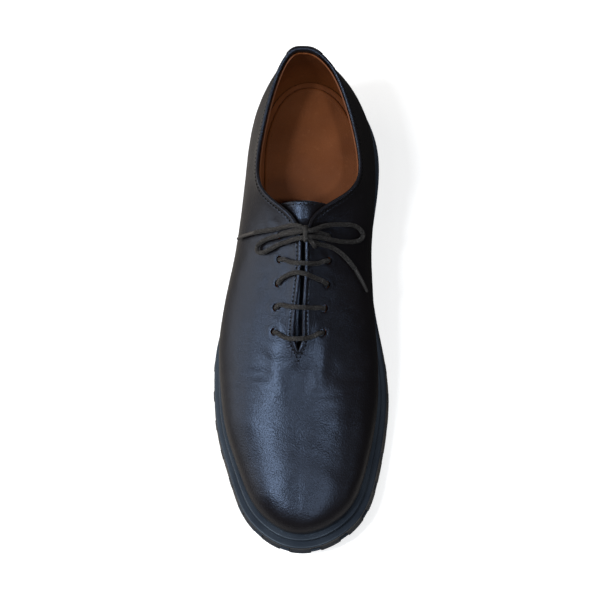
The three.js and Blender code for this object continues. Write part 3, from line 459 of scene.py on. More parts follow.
def path_through(points: Sequence[Sequence[float]], spacing: float) -> np.ndarray:
    """A smooth path through points, with a step of about the spacing.

    Args:
        points: the points that the path passes.
        spacing: the length of a step.

    Returns:
        The path's points.
    """
    ends = np.asarray(points, float)
    first, last = 2 * ends[0] - ends[1], 2 * ends[-1] - ends[-2]
    knots = np.vstack([first, ends, last])
    pieces = []
    for i in range(1, len(knots) - 2):
        four = knots[i - 1:i + 3]
        gaps = np.sqrt(np.maximum(np.linalg.norm(np.diff(four, axis=0), axis=1), 1e-6))
        t = np.concatenate([[0], np.cumsum(gaps)])
        count = max(2, int(math.ceil(np.linalg.norm(four[2] - four[1]) / spacing * 3)))
        at = np.linspace(t[1], t[2], count, endpoint=False)[:, None]
        a = [(t[k + 1] - at) / gaps[k] * four[k] + (at - t[k]) / gaps[k] * four[k + 1] for k in range(3)]
        b = [(t[k + 2] - at) / (t[k + 2] - t[k]) * a[k] + (at - t[k]) / (t[k + 2] - t[k]) * a[k + 1] for k in range(2)]
        pieces.append((t[2] - at) / gaps[1] * b[0] + (at - t[1]) / gaps[1] * b[1])
    dense = np.vstack(pieces + [ends[-1:]])
    return even_steps(dense, spacing)


def even_steps(points: np.ndarray, spacing: float) -> np.ndarray:
    """The same path with steps of about the same length."""
    length = np.concatenate([[0], np.cumsum(np.linalg.norm(np.diff(points, axis=0), axis=1))])
    count = max(2, int(round(length[-1] / spacing)) + 1)
    at = np.linspace(0, length[-1], count)
    return np.stack([np.interp(at, length, points[:, k]) for k in range(3)], 1)


def path_frames(points: np.ndarray) -> tuple[np.ndarray, np.ndarray]:
    """Two directions square to a path, which don't twist along it."""
    run = unit(np.gradient(points, axis=0))
    side = np.zeros_like(points)
    start = np.cross(run[0], [0.0, 0.0, 1.0])
    side[0] = unit(start if np.linalg.norm(start) > 1e-3 else np.cross(run[0], [0.0, 1.0, 0.0]))
    for i in range(1, len(points)):
        side[i] = unit(side[i - 1] - run[i] * np.dot(side[i - 1], run[i]))
    return side, np.cross(run, side)


def tube(name: str, points: np.ndarray, radius: np.ndarray | float, sides: int = 14) -> bpy.types.Object:
    """A round tube with domed ends.

    Args:
        name: the piece's name.
        points: the path of its middle, in millimetres.
        radius: the radius, or one for each point.
        sides: corners round the tube.

    Returns:
        The tube, with its UV in millimetres along and round.
    """
    radius = np.broadcast_to(np.asarray(radius, float), (len(points),))
    side, up = path_frames(points)
    run = unit(np.gradient(points, axis=0))
    domes = np.radians([12, 35, 60])
    path = np.vstack([points[:1] - np.outer(np.cos(domes) * radius[0], run[0]), points,
                      points[-1:] + np.outer(np.cos(domes[::-1]) * radius[-1], run[-1])])
    sizes = np.concatenate([np.sin(domes) * radius[0], radius, np.sin(domes[::-1]) * radius[-1]])
    side = np.vstack([side[:1]] * 3 + [side] + [side[-1:]] * 3)
    up = np.vstack([up[:1]] * 3 + [up] + [up[-1:]] * 3)
    angle = np.linspace(0, 2 * math.pi, sides, endpoint=False)
    rings = (path[:, None] + sizes[:, None, None] * (np.cos(angle)[None, :, None] * side[:, None]
                                                     + np.sin(angle)[None, :, None] * up[:, None]))
    count = len(path)
    corners = np.vstack([rings.reshape(-1, 3), path[:1] - run[:1] * 0, path[-1:]])
    corners[-2] = points[0] - run[0] * radius[0]
    corners[-1] = points[-1] + run[-1] * radius[-1]
    faces: list[tuple[int, ...]] = list(ring_faces(count, sides, False))
    faces += [(count * sides, (j + 1) % sides, j) for j in range(sides)]
    faces += [(count * sides + 1, (count - 1) * sides + j, (count - 1) * sides + (j + 1) % sides) for j in range(sides)]
    along = np.concatenate([[0], np.cumsum(np.linalg.norm(np.diff(path, axis=0), axis=1))])
    around = np.abs(angle / math.pi - 1) * math.pi * float(radius.mean())
    uv = np.stack(np.broadcast_arrays(along[:, None], around[None]), -1).reshape(-1, 2)
    uv = np.vstack([uv, [along[0], 0], [along[-1], 0]])
    return build_mesh(name, corners, faces, uv=uv)


Socket = bpy.types.NodeSocket


class Bench:
    """Adds nodes to one tree and joins them as it goes."""

    def __init__(self, tree: bpy.types.NodeTree) -> None:
        """Takes the tree that it works on."""
        self.tree = tree

    def add(self, kind: str, inputs: dict[int | str, object] | None = None, **settings: object) -> bpy.types.Node:
        """Adds one node.

        Args:
            kind: Blender's name for the node's type.
            inputs: a socket to join, or a value to set, for each input's name or number.
            settings: the node's own options.

        Returns:
            The node.
        """
        node = self.tree.nodes.new(kind)
        for name, value in settings.items():
            setattr(node, name, value)
        for key, value in (inputs or {}).items():
            if isinstance(value, Socket):
                self.tree.links.new(value, node.inputs[key])
            else:
                node.inputs[key].default_value = value
        return node

    def math(self, operation: str, *values: Socket | float) -> Socket:
        """A Math node's result."""
        return self.add("ShaderNodeMath", dict(enumerate(values)), operation=operation).outputs[0]

    def ramp(self, value: Socket, *stops: tuple[float, float]) -> Socket:
        """A grey ramp's result.

        Args:
            value: what is looked up.
            stops: the place and brightness of each stop.

        Returns:
            The looked-up brightness.
        """
        node = self.add("ShaderNodeValToRGB", {"Fac": value})
        points = node.color_ramp.elements
        while len(points) < len(stops):
            points.new(0.5)
        for point, (place, grey) in zip(points, stops):
            point.position = place
            point.color = (grey, grey, grey, 1)
        return node.outputs["Color"]

    def mix(self, share: Socket | float, first: Sequence[float] | Socket, second: Sequence[float] | Socket) -> Socket:
        """Two colours mixed by a share."""
        def rgba(colour: Sequence[float] | Socket) -> Sequence[float] | Socket:
            """A colour with its alpha, or a socket as it is."""
            return colour if isinstance(colour, Socket) else (*colour, 1)

        node = self.add("ShaderNodeMix", {0: share, 6: rgba(first), 7: rgba(second)}, data_type="RGBA")
        return node.outputs[2]

    def noise(self, vector: Socket, scale: float | Socket, detail: float = 2, roughness: float = 0.5) -> Socket:
        """A Noise node's grey result."""
        return self.add("ShaderNodeTexNoise", {"Vector": vector, "Scale": scale, "Detail": detail,
                                               "Roughness": roughness}).outputs["Fac"]


def start_group(name: str, inputs: dict[str, str], outputs: dict[str, str],
                kind: str = "ShaderNodeTree") -> tuple[Bench, bpy.types.Node, bpy.types.Node]:
    """Starts a node group.

    Args:
        name: the group's name.
        inputs: its inputs' names and types.
        outputs: its outputs' names and types.
        kind: the type of tree.

    Returns:
        The group's bench, its entry node and its exit node.
    """
    tree = bpy.data.node_groups.new(name, kind)
    for in_out, sockets in (("INPUT", inputs), ("OUTPUT", outputs)):
        for label, socket_type in sockets.items():
            tree.interface.new_socket(name=label, in_out=in_out, socket_type=socket_type)
    return Bench(tree), tree.nodes.new("NodeGroupInput"), tree.nodes.new("NodeGroupOutput")


class SharedEffects:
    """The surface effects that more than one finish uses, each a node group."""

    def __init__(self) -> None:
        """Builds the groups."""
        self.hide_grain = self.build_hide_grain()
        self.soft_wear = self.build_soft_wear()
        self.cord_braid = self.build_cord_braid()

    def build_hide_grain(self) -> bpy.types.NodeTree:
        """The fine pebbles, pores and pull lines of leather, as a height and a pore mask."""
        bench, entry, leave = start_group(
            "hide grain", {"Vector": "NodeSocketVector", "Pebbles per metre": "NodeSocketFloat"},
            {"Height": "NodeSocketFloat", "Pores": "NodeSocketFloat"})
        vector, scale = entry.outputs["Vector"], entry.outputs["Pebbles per metre"]
        bent = bench.add("ShaderNodeTexNoise", {"Vector": vector, "Scale": bench.math("MULTIPLY", scale, 0.35),
                                                "Detail": 1.0})
        moved = bench.add("ShaderNodeVectorMath", {0: bent.outputs["Color"], 1: (0.5, 0.5, 0.5)}, operation="SUBTRACT")
        moved = bench.add("ShaderNodeVectorMath", {0: moved.outputs[0], "Scale": 0.0006}, operation="SCALE")
        moved = bench.add("ShaderNodeVectorMath", {0: moved.outputs[0], 1: vector}, operation="ADD").outputs[0]
        cells = bench.add("ShaderNodeTexVoronoi", {"Vector": moved, "Scale": scale, "Smoothness": 0.6},
                          feature="SMOOTH_F1").outputs["Distance"]
        fine = bench.noise(moved, bench.math("MULTIPLY", scale, 2.3), 2.0)
        pebbles = bench.math("SUBTRACT", 1.0, bench.math("MULTIPLY", cells, 1.2))
        height = bench.math("ADD", bench.math("MULTIPLY", pebbles, 0.7), bench.math("MULTIPLY", fine, 0.5))
        pores = bench.ramp(fine, (0.3, 1.0), (0.42, 0.0))
        bench.tree.links.new(height, leave.inputs["Height"])
        bench.tree.links.new(pores, leave.inputs["Pores"])
        return bench.tree

    def build_soft_wear(self) -> bpy.types.NodeTree:
        """Broad uneven patches and small scuffs, as two masks."""
        bench, entry, leave = start_group(
            "soft wear", {"Vector": "NodeSocketVector", "Patches per metre": "NodeSocketFloat"},
            {"Patches": "NodeSocketFloat", "Scuffs": "NodeSocketFloat"})
        vector, scale = entry.outputs["Vector"], entry.outputs["Patches per metre"]
        broad = bench.noise(vector, scale, 3.0, 0.55)
        small = bench.noise(vector, bench.math("MULTIPLY", scale, 7.0), 4.0, 0.65)
        bench.tree.links.new(bench.ramp(broad, (0.35, 0.0), (0.68, 1.0)), leave.inputs["Patches"])
        bench.tree.links.new(bench.ramp(small, (0.6, 0.0), (0.72, 1.0)), leave.inputs["Scuffs"])
        return bench.tree

    def build_cord_braid(self) -> bpy.types.NodeTree:
        """Crossing strands round a lace, from its UV in millimetres, as a height and a mask of painted shade in the
        crevices between them.
        """
        bench, entry, leave = start_group(
            "cord braid", {"UV": "NodeSocketVector", "Strand pitch": "NodeSocketFloat"},
            {"Height": "NodeSocketFloat", "Painted shade": "NodeSocketFloat"})
        parts = bench.add("ShaderNodeSeparateXYZ", {0: entry.outputs["UV"]})
        turn = bench.math("DIVIDE", 2 * math.pi, entry.outputs["Strand pitch"])
        along, around = (bench.math("MULTIPLY", parts.outputs[k], turn) for k in (0, 1))
        waves = [bench.math("SINE", bench.math(way, along, bench.math("MULTIPLY", around, 1.3)))
                 for way in ("ADD", "SUBTRACT")]
        height = bench.math("MAXIMUM", *waves)
        bench.tree.links.new(height, leave.inputs["Height"])
        bench.tree.links.new(bench.ramp(height, (0.0, 1.0), (0.5, 0.0)), leave.inputs["Painted shade"])
        return bench.tree


def use_group(bench: Bench, group: bpy.types.NodeTree, inputs: dict[str, object]) -> bpy.types.Node:
    """Adds a node group to a material."""
    node = bench.add("ShaderNodeGroup", node_tree=group)
    for name, value in inputs.items():
        if isinstance(value, Socket):
            bench.tree.links.new(value, node.inputs[name])
        else:
            node.inputs[name].default_value = value
    return node


def start_material(name: str) -> tuple[bpy.types.Material, Bench, bpy.types.Node]:
    """Starts a material and returns it with its bench and its shader."""
    material = bpy.data.materials.new(name)
    material.use_nodes = True
    bench = Bench(material.node_tree)
    return material, bench, material.node_tree.nodes["Principled BSDF"]


@dataclass(frozen=True)
class HideFinish:
    """Smooth leather: its colours, gloss, coat and grain."""

    name: str
    deep: tuple[float, float, float]
    light: tuple[float, float, float]
    scuff: tuple[float, float, float]
    roughness: float
    rough_spread: float = 0.1
    coat: float = 0.0
    coat_roughness: float = 0.3
    specular: float = 0.5
    tint: tuple[float, float, float] = (1.0, 1.0, 1.0)
    pebbles: float = 1100
    grain_depth: float = 0.00011
    patches: float = 22

    def make(self, effects: SharedEffects) -> bpy.types.Material:
        """Builds the material.

        Args:
            effects: the shared node groups.

        Returns:
            The material.
        """
        material, bench, shader = start_material(self.name)
        place = bench.add("ShaderNodeTexCoord").outputs["Object"]
        grain = use_group(bench, effects.hide_grain, {"Vector": place, "Pebbles per metre": self.pebbles})
        wear = use_group(bench, effects.soft_wear, {"Vector": place, "Patches per metre": self.patches})
        tone = bench.mix(wear.outputs["Patches"], self.deep, self.light)
        scuffs = bench.math("MULTIPLY", wear.outputs["Scuffs"], 0.35)
        tone = bench.mix(scuffs, tone, self.scuff)
        tone = bench.mix(bench.math("MULTIPLY", grain.outputs["Pores"], 0.4), tone, self.deep)
        bench.tree.links.new(tone, shader.inputs["Base Color"])
        rough = bench.math("MULTIPLY_ADD", wear.outputs["Patches"], self.rough_spread, self.roughness)
        rough = bench.math("MULTIPLY_ADD", grain.outputs["Pores"], 0.12, rough)
        bench.tree.links.new(rough, shader.inputs["Roughness"])
        broad = bench.add("ShaderNodeBump", {"Strength": 0.6, "Distance": 0.001,
                                             "Height": bench.noise(place, 70.0, 1.5, 0.4)})
        bump = bench.add("ShaderNodeBump", {"Strength": 1.0, "Distance": self.grain_depth,
                                            "Height": grain.outputs["Height"], "Normal": broad.outputs["Normal"]})
        bench.tree.links.new(bump.outputs["Normal"], shader.inputs["Normal"])
        shader.inputs["Coat Weight"].default_value = self.coat
        shader.inputs["Coat Roughness"].default_value = self.coat_roughness
        shader.inputs["Specular IOR Level"].default_value = self.specular
        shader.inputs["Specular Tint"].default_value = (*self.tint, 1)
        return material


@dataclass(frozen=True)
class RubberFinish:
    """Moulded rubber with a fine matt skin and rubbed patches."""

    name: str = "sole rubber"
    deep: tuple[float, float, float] = (0.009, 0.0125, 0.02)
    rubbed: tuple[float, float, float] = (0.02, 0.026, 0.037)
    dust: tuple[float, float, float] = (0.075, 0.066, 0.056)
    dust_top: float = 0.012
    roughness: float = 0.42

    def make(self, effects: SharedEffects) -> bpy.types.Material:
        """Builds the material.

        Args:
            effects: the shared node groups.

        Returns:
            The material.
        """
        material, bench, shader = start_material(self.name)
        place = bench.add("ShaderNodeTexCoord").outputs["Object"]
        wear = use_group(bench, effects.soft_wear, {"Vector": place, "Patches per metre": 35.0})
        tone = bench.mix(wear.outputs["Patches"], self.deep, self.rubbed)
        height = bench.add("ShaderNodeSeparateXYZ", {0: place}).outputs["Z"]
        low = bench.math("MULTIPLY_ADD", height, 1 / self.dust_top, bench.math(
            "MULTIPLY", wear.outputs["Patches"], 0.15))
        low = bench.ramp(low, (0.2, 1.0), (1.25, 0.0))
        tone = bench.mix(bench.math("MULTIPLY", low, 0.8), tone, self.dust)
        bench.tree.links.new(tone, shader.inputs["Base Color"])
        rough = bench.math("MULTIPLY_ADD", wear.outputs["Scuffs"], 0.15, self.roughness)
        bench.tree.links.new(rough, shader.inputs["Roughness"])
        skin = bench.add("ShaderNodeBump", {"Strength": 0.7, "Distance": 0.00005,
                                            "Height": bench.noise(place, 1500.0, 3.0)})
        bench.tree.links.new(skin.outputs["Normal"], shader.inputs["Normal"])
        shader.inputs["Specular IOR Level"].default_value = 0.35
        shader.inputs["Specular Tint"].default_value = (0.7, 0.85, 1.0, 1)
        return material


@dataclass(frozen=True)
class LaceFinish:
    """Waxed round braid, with painted shade in its crevices and painted highlights on its waxier patches."""

    name: str = "waxed lace"
    strand: tuple[float, float, float] = (0.019, 0.018, 0.018)
    # Colour of the painted shade in the braid's crevices.
    crevice_shade: tuple[float, float, float] = (0.005, 0.0045, 0.0045)
    pitch: float = 1.5

    def make(self, effects: SharedEffects) -> bpy.types.Material:
        """Builds the material.

        Args:
            effects: the shared node groups.

        Returns:
            The material.
        """
        material, bench, shader = start_material(self.name)
        uv = bench.add("ShaderNodeTexCoord").outputs["UV"]
        braid = use_group(bench, effects.cord_braid, {"UV": uv, "Strand pitch": self.pitch})
        wax_and_glint = bench.noise(uv, 0.9, 3.0)
        # The crevices between the strands are painted darker: painted shade.
        tone = bench.mix(braid.outputs["Painted shade"], self.strand, self.crevice_shade)
        # The waxier patches are also painted lighter: painted highlights, besides their real lower roughness.
        tone = bench.mix(bench.ramp(wax_and_glint, (0.48, 0.0), (0.72, 0.75)), tone, (0.1, 0.096, 0.096))
        bench.tree.links.new(tone, shader.inputs["Base Color"])
        bench.tree.links.new(bench.ramp(wax_and_glint, (0.3, 0.6), (0.75, 0.42)), shader.inputs["Roughness"])
        bump = bench.add("ShaderNodeBump", {"Strength": 1.0, "Distance": 0.0004, "Height": braid.outputs["Height"]})
        bench.tree.links.new(bump.outputs["Normal"], shader.inputs["Normal"])
        return material


@dataclass(frozen=True)
class TipFinish:
    """The lace's moulded tip, with faint pinch marks."""

    name: str = "lace tip"
    tone: tuple[float, float, float] = (0.022, 0.021, 0.021)

    def make(self) -> bpy.types.Material:
        """Builds the material."""
        material, bench, shader = start_material(self.name)
        uv = bench.add("ShaderNodeTexCoord").outputs["UV"]
        marks = bench.noise(uv, 0.7, 2.0)
        bench.tree.links.new(bench.mix(marks, self.tone, (0.034, 0.032, 0.032)), shader.inputs["Base Color"])
        bench.tree.links.new(bench.ramp(marks, (0.3, 0.34), (0.7, 0.46)), shader.inputs["Roughness"])
        bump = bench.add("ShaderNodeBump", {"Strength": 0.5, "Distance": 0.0001, "Height": marks})
        bench.tree.links.new(bump.outputs["Normal"], shader.inputs["Normal"])
        return material


@dataclass(frozen=True)
class ThreadFinish:
    """Sewing thread, twisted and slightly waxed."""

    name: str
    tone: tuple[float, float, float]

    def make(self) -> bpy.types.Material:
        """Builds the material."""
        material, bench, shader = start_material(self.name)
        place = bench.add("ShaderNodeTexCoord").outputs["Object"]
        fuzz = bench.noise(place, 3000.0, 2.0)
        lighter = tuple(1.6 * part for part in self.tone)
        bench.tree.links.new(bench.mix(fuzz, self.tone, lighter), shader.inputs["Base Color"])
        bench.tree.links.new(bench.ramp(fuzz, (0.3, 0.75), (0.7, 0.95)), shader.inputs["Roughness"])
        shader.inputs["Specular IOR Level"].default_value = 0.15
        bump = bench.add("ShaderNodeBump", {"Strength": 0.5, "Distance": 0.00008, "Height": fuzz})
        bench.tree.links.new(bump.outputs["Normal"], shader.inputs["Normal"])
        return material


@dataclass
class Wall:
    """The ribs and rows of a layer of the upper's wall, all round the shoe.

    Ribs run from the heel to the toe on the inner side and back on the outer one. Rows run from the rim, or from
    the ridge past the slit, down to the feather line.
    """

    last: Last
    rib_count: int = 330
    near_rows: tuple[float, ...] = (0, 0.45, 0.9, 1.3, 1.6, 1.9, 2.2, 2.5, 2.9, 3.5, 4.3, 5.3, 6.5)
    far_rows: int = 52
    rim_drop: float = 0.0
    drop_wave: float = 0.0

    def __post_init__(self) -> None:
        """Lays out the ribs and rows and finds their points and directions."""
        turns = np.linspace(0, 1, self.rib_count + 1)
        turns[np.argmin(np.abs(turns - self.last.slit_end_turn))] = self.last.slit_end_turn
        self.turn = np.concatenate([turns, turns[-2:0:-1]])
        self.side = np.concatenate([np.ones(len(turns)), -np.ones(len(turns) - 2)]).astype(int)
        self.partner = (2 * self.rib_count - np.arange(2 * self.rib_count)) % (2 * self.rib_count)
        self.open = self.turn < self.last.slit_end_turn - 1e-9
        open_share = 1 - smooth_step(self.last.slit_end_turn - 0.03, self.last.slit_end_turn, self.turn)
        wave = self.drop_wave * back_pucker(self.turn, self.side)
        drop = self.rim_drop * open_share + wave
        near = np.asarray(self.near_rows, float)
        shares = np.linspace(0, 1, self.far_rows + 1)[1:]
        fine = np.linspace(1, 0, 241)
        self.climb = np.zeros((len(self.turn), len(near) + self.far_rows))
        self.depth = np.zeros_like(self.climb)
        for side in (1, -1):
            ribs = np.flatnonzero(self.side == side)
            run = self.last.skin(self.turn[ribs][:, None], side, fine[None])
            walked = np.concatenate([np.zeros((len(ribs), 1)),
                                     np.cumsum(np.linalg.norm(np.diff(run, axis=1), axis=2), axis=1)], axis=1)
            for k, rib in enumerate(ribs):
                start = drop[rib] + near
                rest = start[-1] + (walked[k, -1] - start[-1]) * shares
                self.depth[rib] = np.concatenate([start, rest])
                self.climb[rib] = np.interp(self.depth[rib], walked[k], fine)
        self.points, self.out = self.surface(self.climb)
        other_out = self.surface(self.climb, flip=True)[1]
        tips = [0, self.rib_count]
        self.out[tips] = unit(self.out[tips] + other_out[tips])
        ridge = np.flatnonzero(~self.open)
        pair = self.partner[ridge]
        self.points[ridge, 0] = (self.points[ridge, 0] + self.points[pair, 0]) / 2
        out = unit(self.out[ridge, 0] + self.out[pair, 0])
        self.out[ridge, 0] = out

    def surface(self, climb: np.ndarray, flip: bool = False) -> tuple[np.ndarray, np.ndarray]:
        """Points and outward directions of the skin at each rib's climbs.

        Args:
            climb: the climbs, one row of them for each rib.
            flip: whether each rib is taken on its other side.

        Returns:
            The points and the directions.
        """
        points, out = np.zeros((*climb.shape, 3)), np.zeros((*climb.shape, 3))
        for side in (1, -1):
            ribs = self.side == side
            there = -side if flip else side
            points[ribs] = self.last.skin(self.turn[ribs][:, None], there, climb[ribs])
            out[ribs] = self.last.normal(self.turn[ribs][:, None], there, climb[ribs])
        return points, out

    def rim_order(self) -> np.ndarray:
        """The ribs along the rim, from the slit's end on the outer side round the heel to the inner side."""
        end = int(np.flatnonzero(~self.open)[0])
        inner = np.arange(0, end + 1)
        return np.concatenate([self.partner[inner[:0:-1]], inner])

    def upward(self) -> np.ndarray:
        """The direction up the wall at each rib's top."""
        return unit(self.points[:, 0] - self.points[:, 1])

    def shell(self, name: str, outer: np.ndarray, inner: np.ndarray, coarse: int = 4,
              edge_slot: int = 0) -> bpy.types.Object:
        """Makes a closed layer between two depths.

        Args:
            name: the piece's name.
            outer: how far each point of the outer face stands off the skin.
            inner: the same for the inner face.
            coarse: the inner face keeps one row in this many.
            edge_slot: the material slot of the rim's cut edge.

        Returns:
            The new piece.
        """
        ribs, rows = self.climb.shape
        front = self.points + self.out * outer[..., None]
        back = self.points + self.out * inner[..., None]
        kept = np.unique(np.concatenate([np.arange(0, rows, coarse), [rows - 1]]))
        points = np.vstack([front.reshape(-1, 3), back[:, kept].reshape(-1, 3)])
        start = ribs * rows
        faces = []
        slots = []
        for k in range(ribs):
            after = (k + 1) % ribs
            for j in range(rows - 1):
                faces.append((k * rows + j, after * rows + j, after * rows + j + 1, k * rows + j + 1))
            for j in range(len(kept) - 1):
                a, b = start + k * len(kept) + j, start + after * len(kept) + j
                faces.append((a, a + 1, b + 1, b))
            slots += [0] * (rows - 1 + len(kept) - 1)
            foot = (k * rows + rows - 1, after * rows + rows - 1,
                    start + after * len(kept) + len(kept) - 1, start + k * len(kept) + len(kept) - 1)
            faces.append(foot)
            slots.append(0)
            if self.open[k] or self.open[after]:
                faces.append((k * rows, start + k * len(kept), start + after * len(kept), after * rows))
                slots.append(edge_slot)
        return build_mesh(name, points, faces, Shading.CREASED, slots=slots)


def back_pucker(turn: np.ndarray, side: np.ndarray) -> np.ndarray:
    """The small waves of the lining's edge round the back of the heel."""
    walked = 330 * turn * side
    fade = 1 - smooth_step(0.07, 0.13, turn)
    return fade * (0.7 * np.sin(walked * 1.55 + 0.6) + 0.3 * np.sin(walked * 2.7 + 1.9))


@dataclass(frozen=True)
class Crease:
    """A soft trough with a ridge along each side, as seen from above, in millimetres."""

    start: tuple[float, float]
    end: tuple[float, float]
    bow: float
    width: float
    depth: float

    def height(self, plan: np.ndarray) -> np.ndarray:
        """How far the crease raises or sinks the leather at places in plan."""
        a, b = np.array(self.start), np.array(self.end)
        run = b - a
        square = np.array([-run[1], run[0]]) / np.linalg.norm(run)
        share = np.linspace(0, 1, 41)
        line = a + share[:, None] * run + (4 * share * (1 - share) * self.bow)[:, None] * square
        apart = np.linalg.norm(plan[..., None, :] - line, axis=-1)
        nearest = apart.argmin(-1)
        d = apart.min(-1) / self.width
        fade = np.clip(1 - (2 * share[nearest] - 1) ** 4, 0, 1)
        return self.depth * fade * (0.5 * np.exp(-(d - 1.9) ** 2) - np.exp(-d ** 2))


@dataclass(frozen=True)
class Swell:
    """A broad soft rise or hollow, as seen from above, in millimetres."""

    middle: tuple[float, float]
    reach: tuple[float, float]
    height_at_middle: float
    turned: float = 0.0

    def height(self, plan: np.ndarray) -> np.ndarray:
        """How far it raises or sinks the leather at places in plan."""
        x, y = plan[..., 0] - self.middle[0], plan[..., 1] - self.middle[1]
        c, s = math.cos(math.radians(self.turned)), math.sin(math.radians(self.turned))
        u, v = (c * x + s * y) / self.reach[0], (c * y - s * x) / self.reach[1]
        return self.height_at_middle * np.exp(-(u * u + v * v))


@dataclass(frozen=True)
class Eyelet:
    """One punched hole: its place on the skin and the direction out of it."""

    pair: int
    side: int
    along: float
    across: float
    point: np.ndarray
    out: np.ndarray


@dataclass
class EyeletRows:
    """The two rows of punched holes beside the slit, in millimetres."""

    last: Last
    pairs: int = 5
    pitch: float = 13.8
    first: float = 4
    setback: float = 14.6
    bore: float = 4.6

    def __post_init__(self) -> None:
        """Finds where each hole stands on the skin."""
        turns = np.linspace(0, 1, 2001)
        self.holes: list[Eyelet] = []
        for pair in range(self.pairs):
            along = self.last.throat_along + self.first + pair * self.pitch
            turn = np.interp(along, self.last.top(turns) * self.last.length, turns)
            for side in (1, -1):
                across = float(self.last.drift(turn)) * self.last.collar_width + side * self.setback
                at = self.last.climb_to(np.array([along]), np.array([across]), side)
                point = self.last.skin(at[0], side, at[1])[0]
                out = self.last.normal(at[0], side, at[1])[0]
                self.holes.append(Eyelet(pair, side, along, across, point, out))

    def pair(self, number: int) -> tuple[Eyelet, Eyelet]:
        """The inner and the outer hole of a pair."""
        inner, outer = (hole for hole in self.holes if hole.pair == number)
        return inner, outer

    def punch(self, piece: bpy.types.Object) -> bpy.types.Object:
        """Cuts the holes through a piece."""
        body = bmesh.new()
        for hole in self.holes:
            turn = Vector((0, 0, 1)).rotation_difference(Vector(hole.out)).to_matrix().to_4x4()
            turn.translation = Vector(hole.point * MM)
            bmesh.ops.create_cone(body, cap_ends=True, segments=28, radius1=self.bore / 2 * MM,
                                  radius2=self.bore / 2 * MM, depth=9 * MM, matrix=turn)
        mesh = bpy.data.meshes.new("eyelet cutter")
        body.to_mesh(mesh)
        body.free()
        cutter = bpy.data.objects.new("eyelet cutter", mesh)
        bpy.context.scene.collection.objects.link(cutter)
        cut = piece.modifiers.new("punch", "BOOLEAN")
        cut.operation = "DIFFERENCE"
        cut.object = cutter
        cut.solver = "EXACT"
        bake_modifiers(piece)
        bpy.data.objects.remove(cutter, do_unlink=True)
        return piece


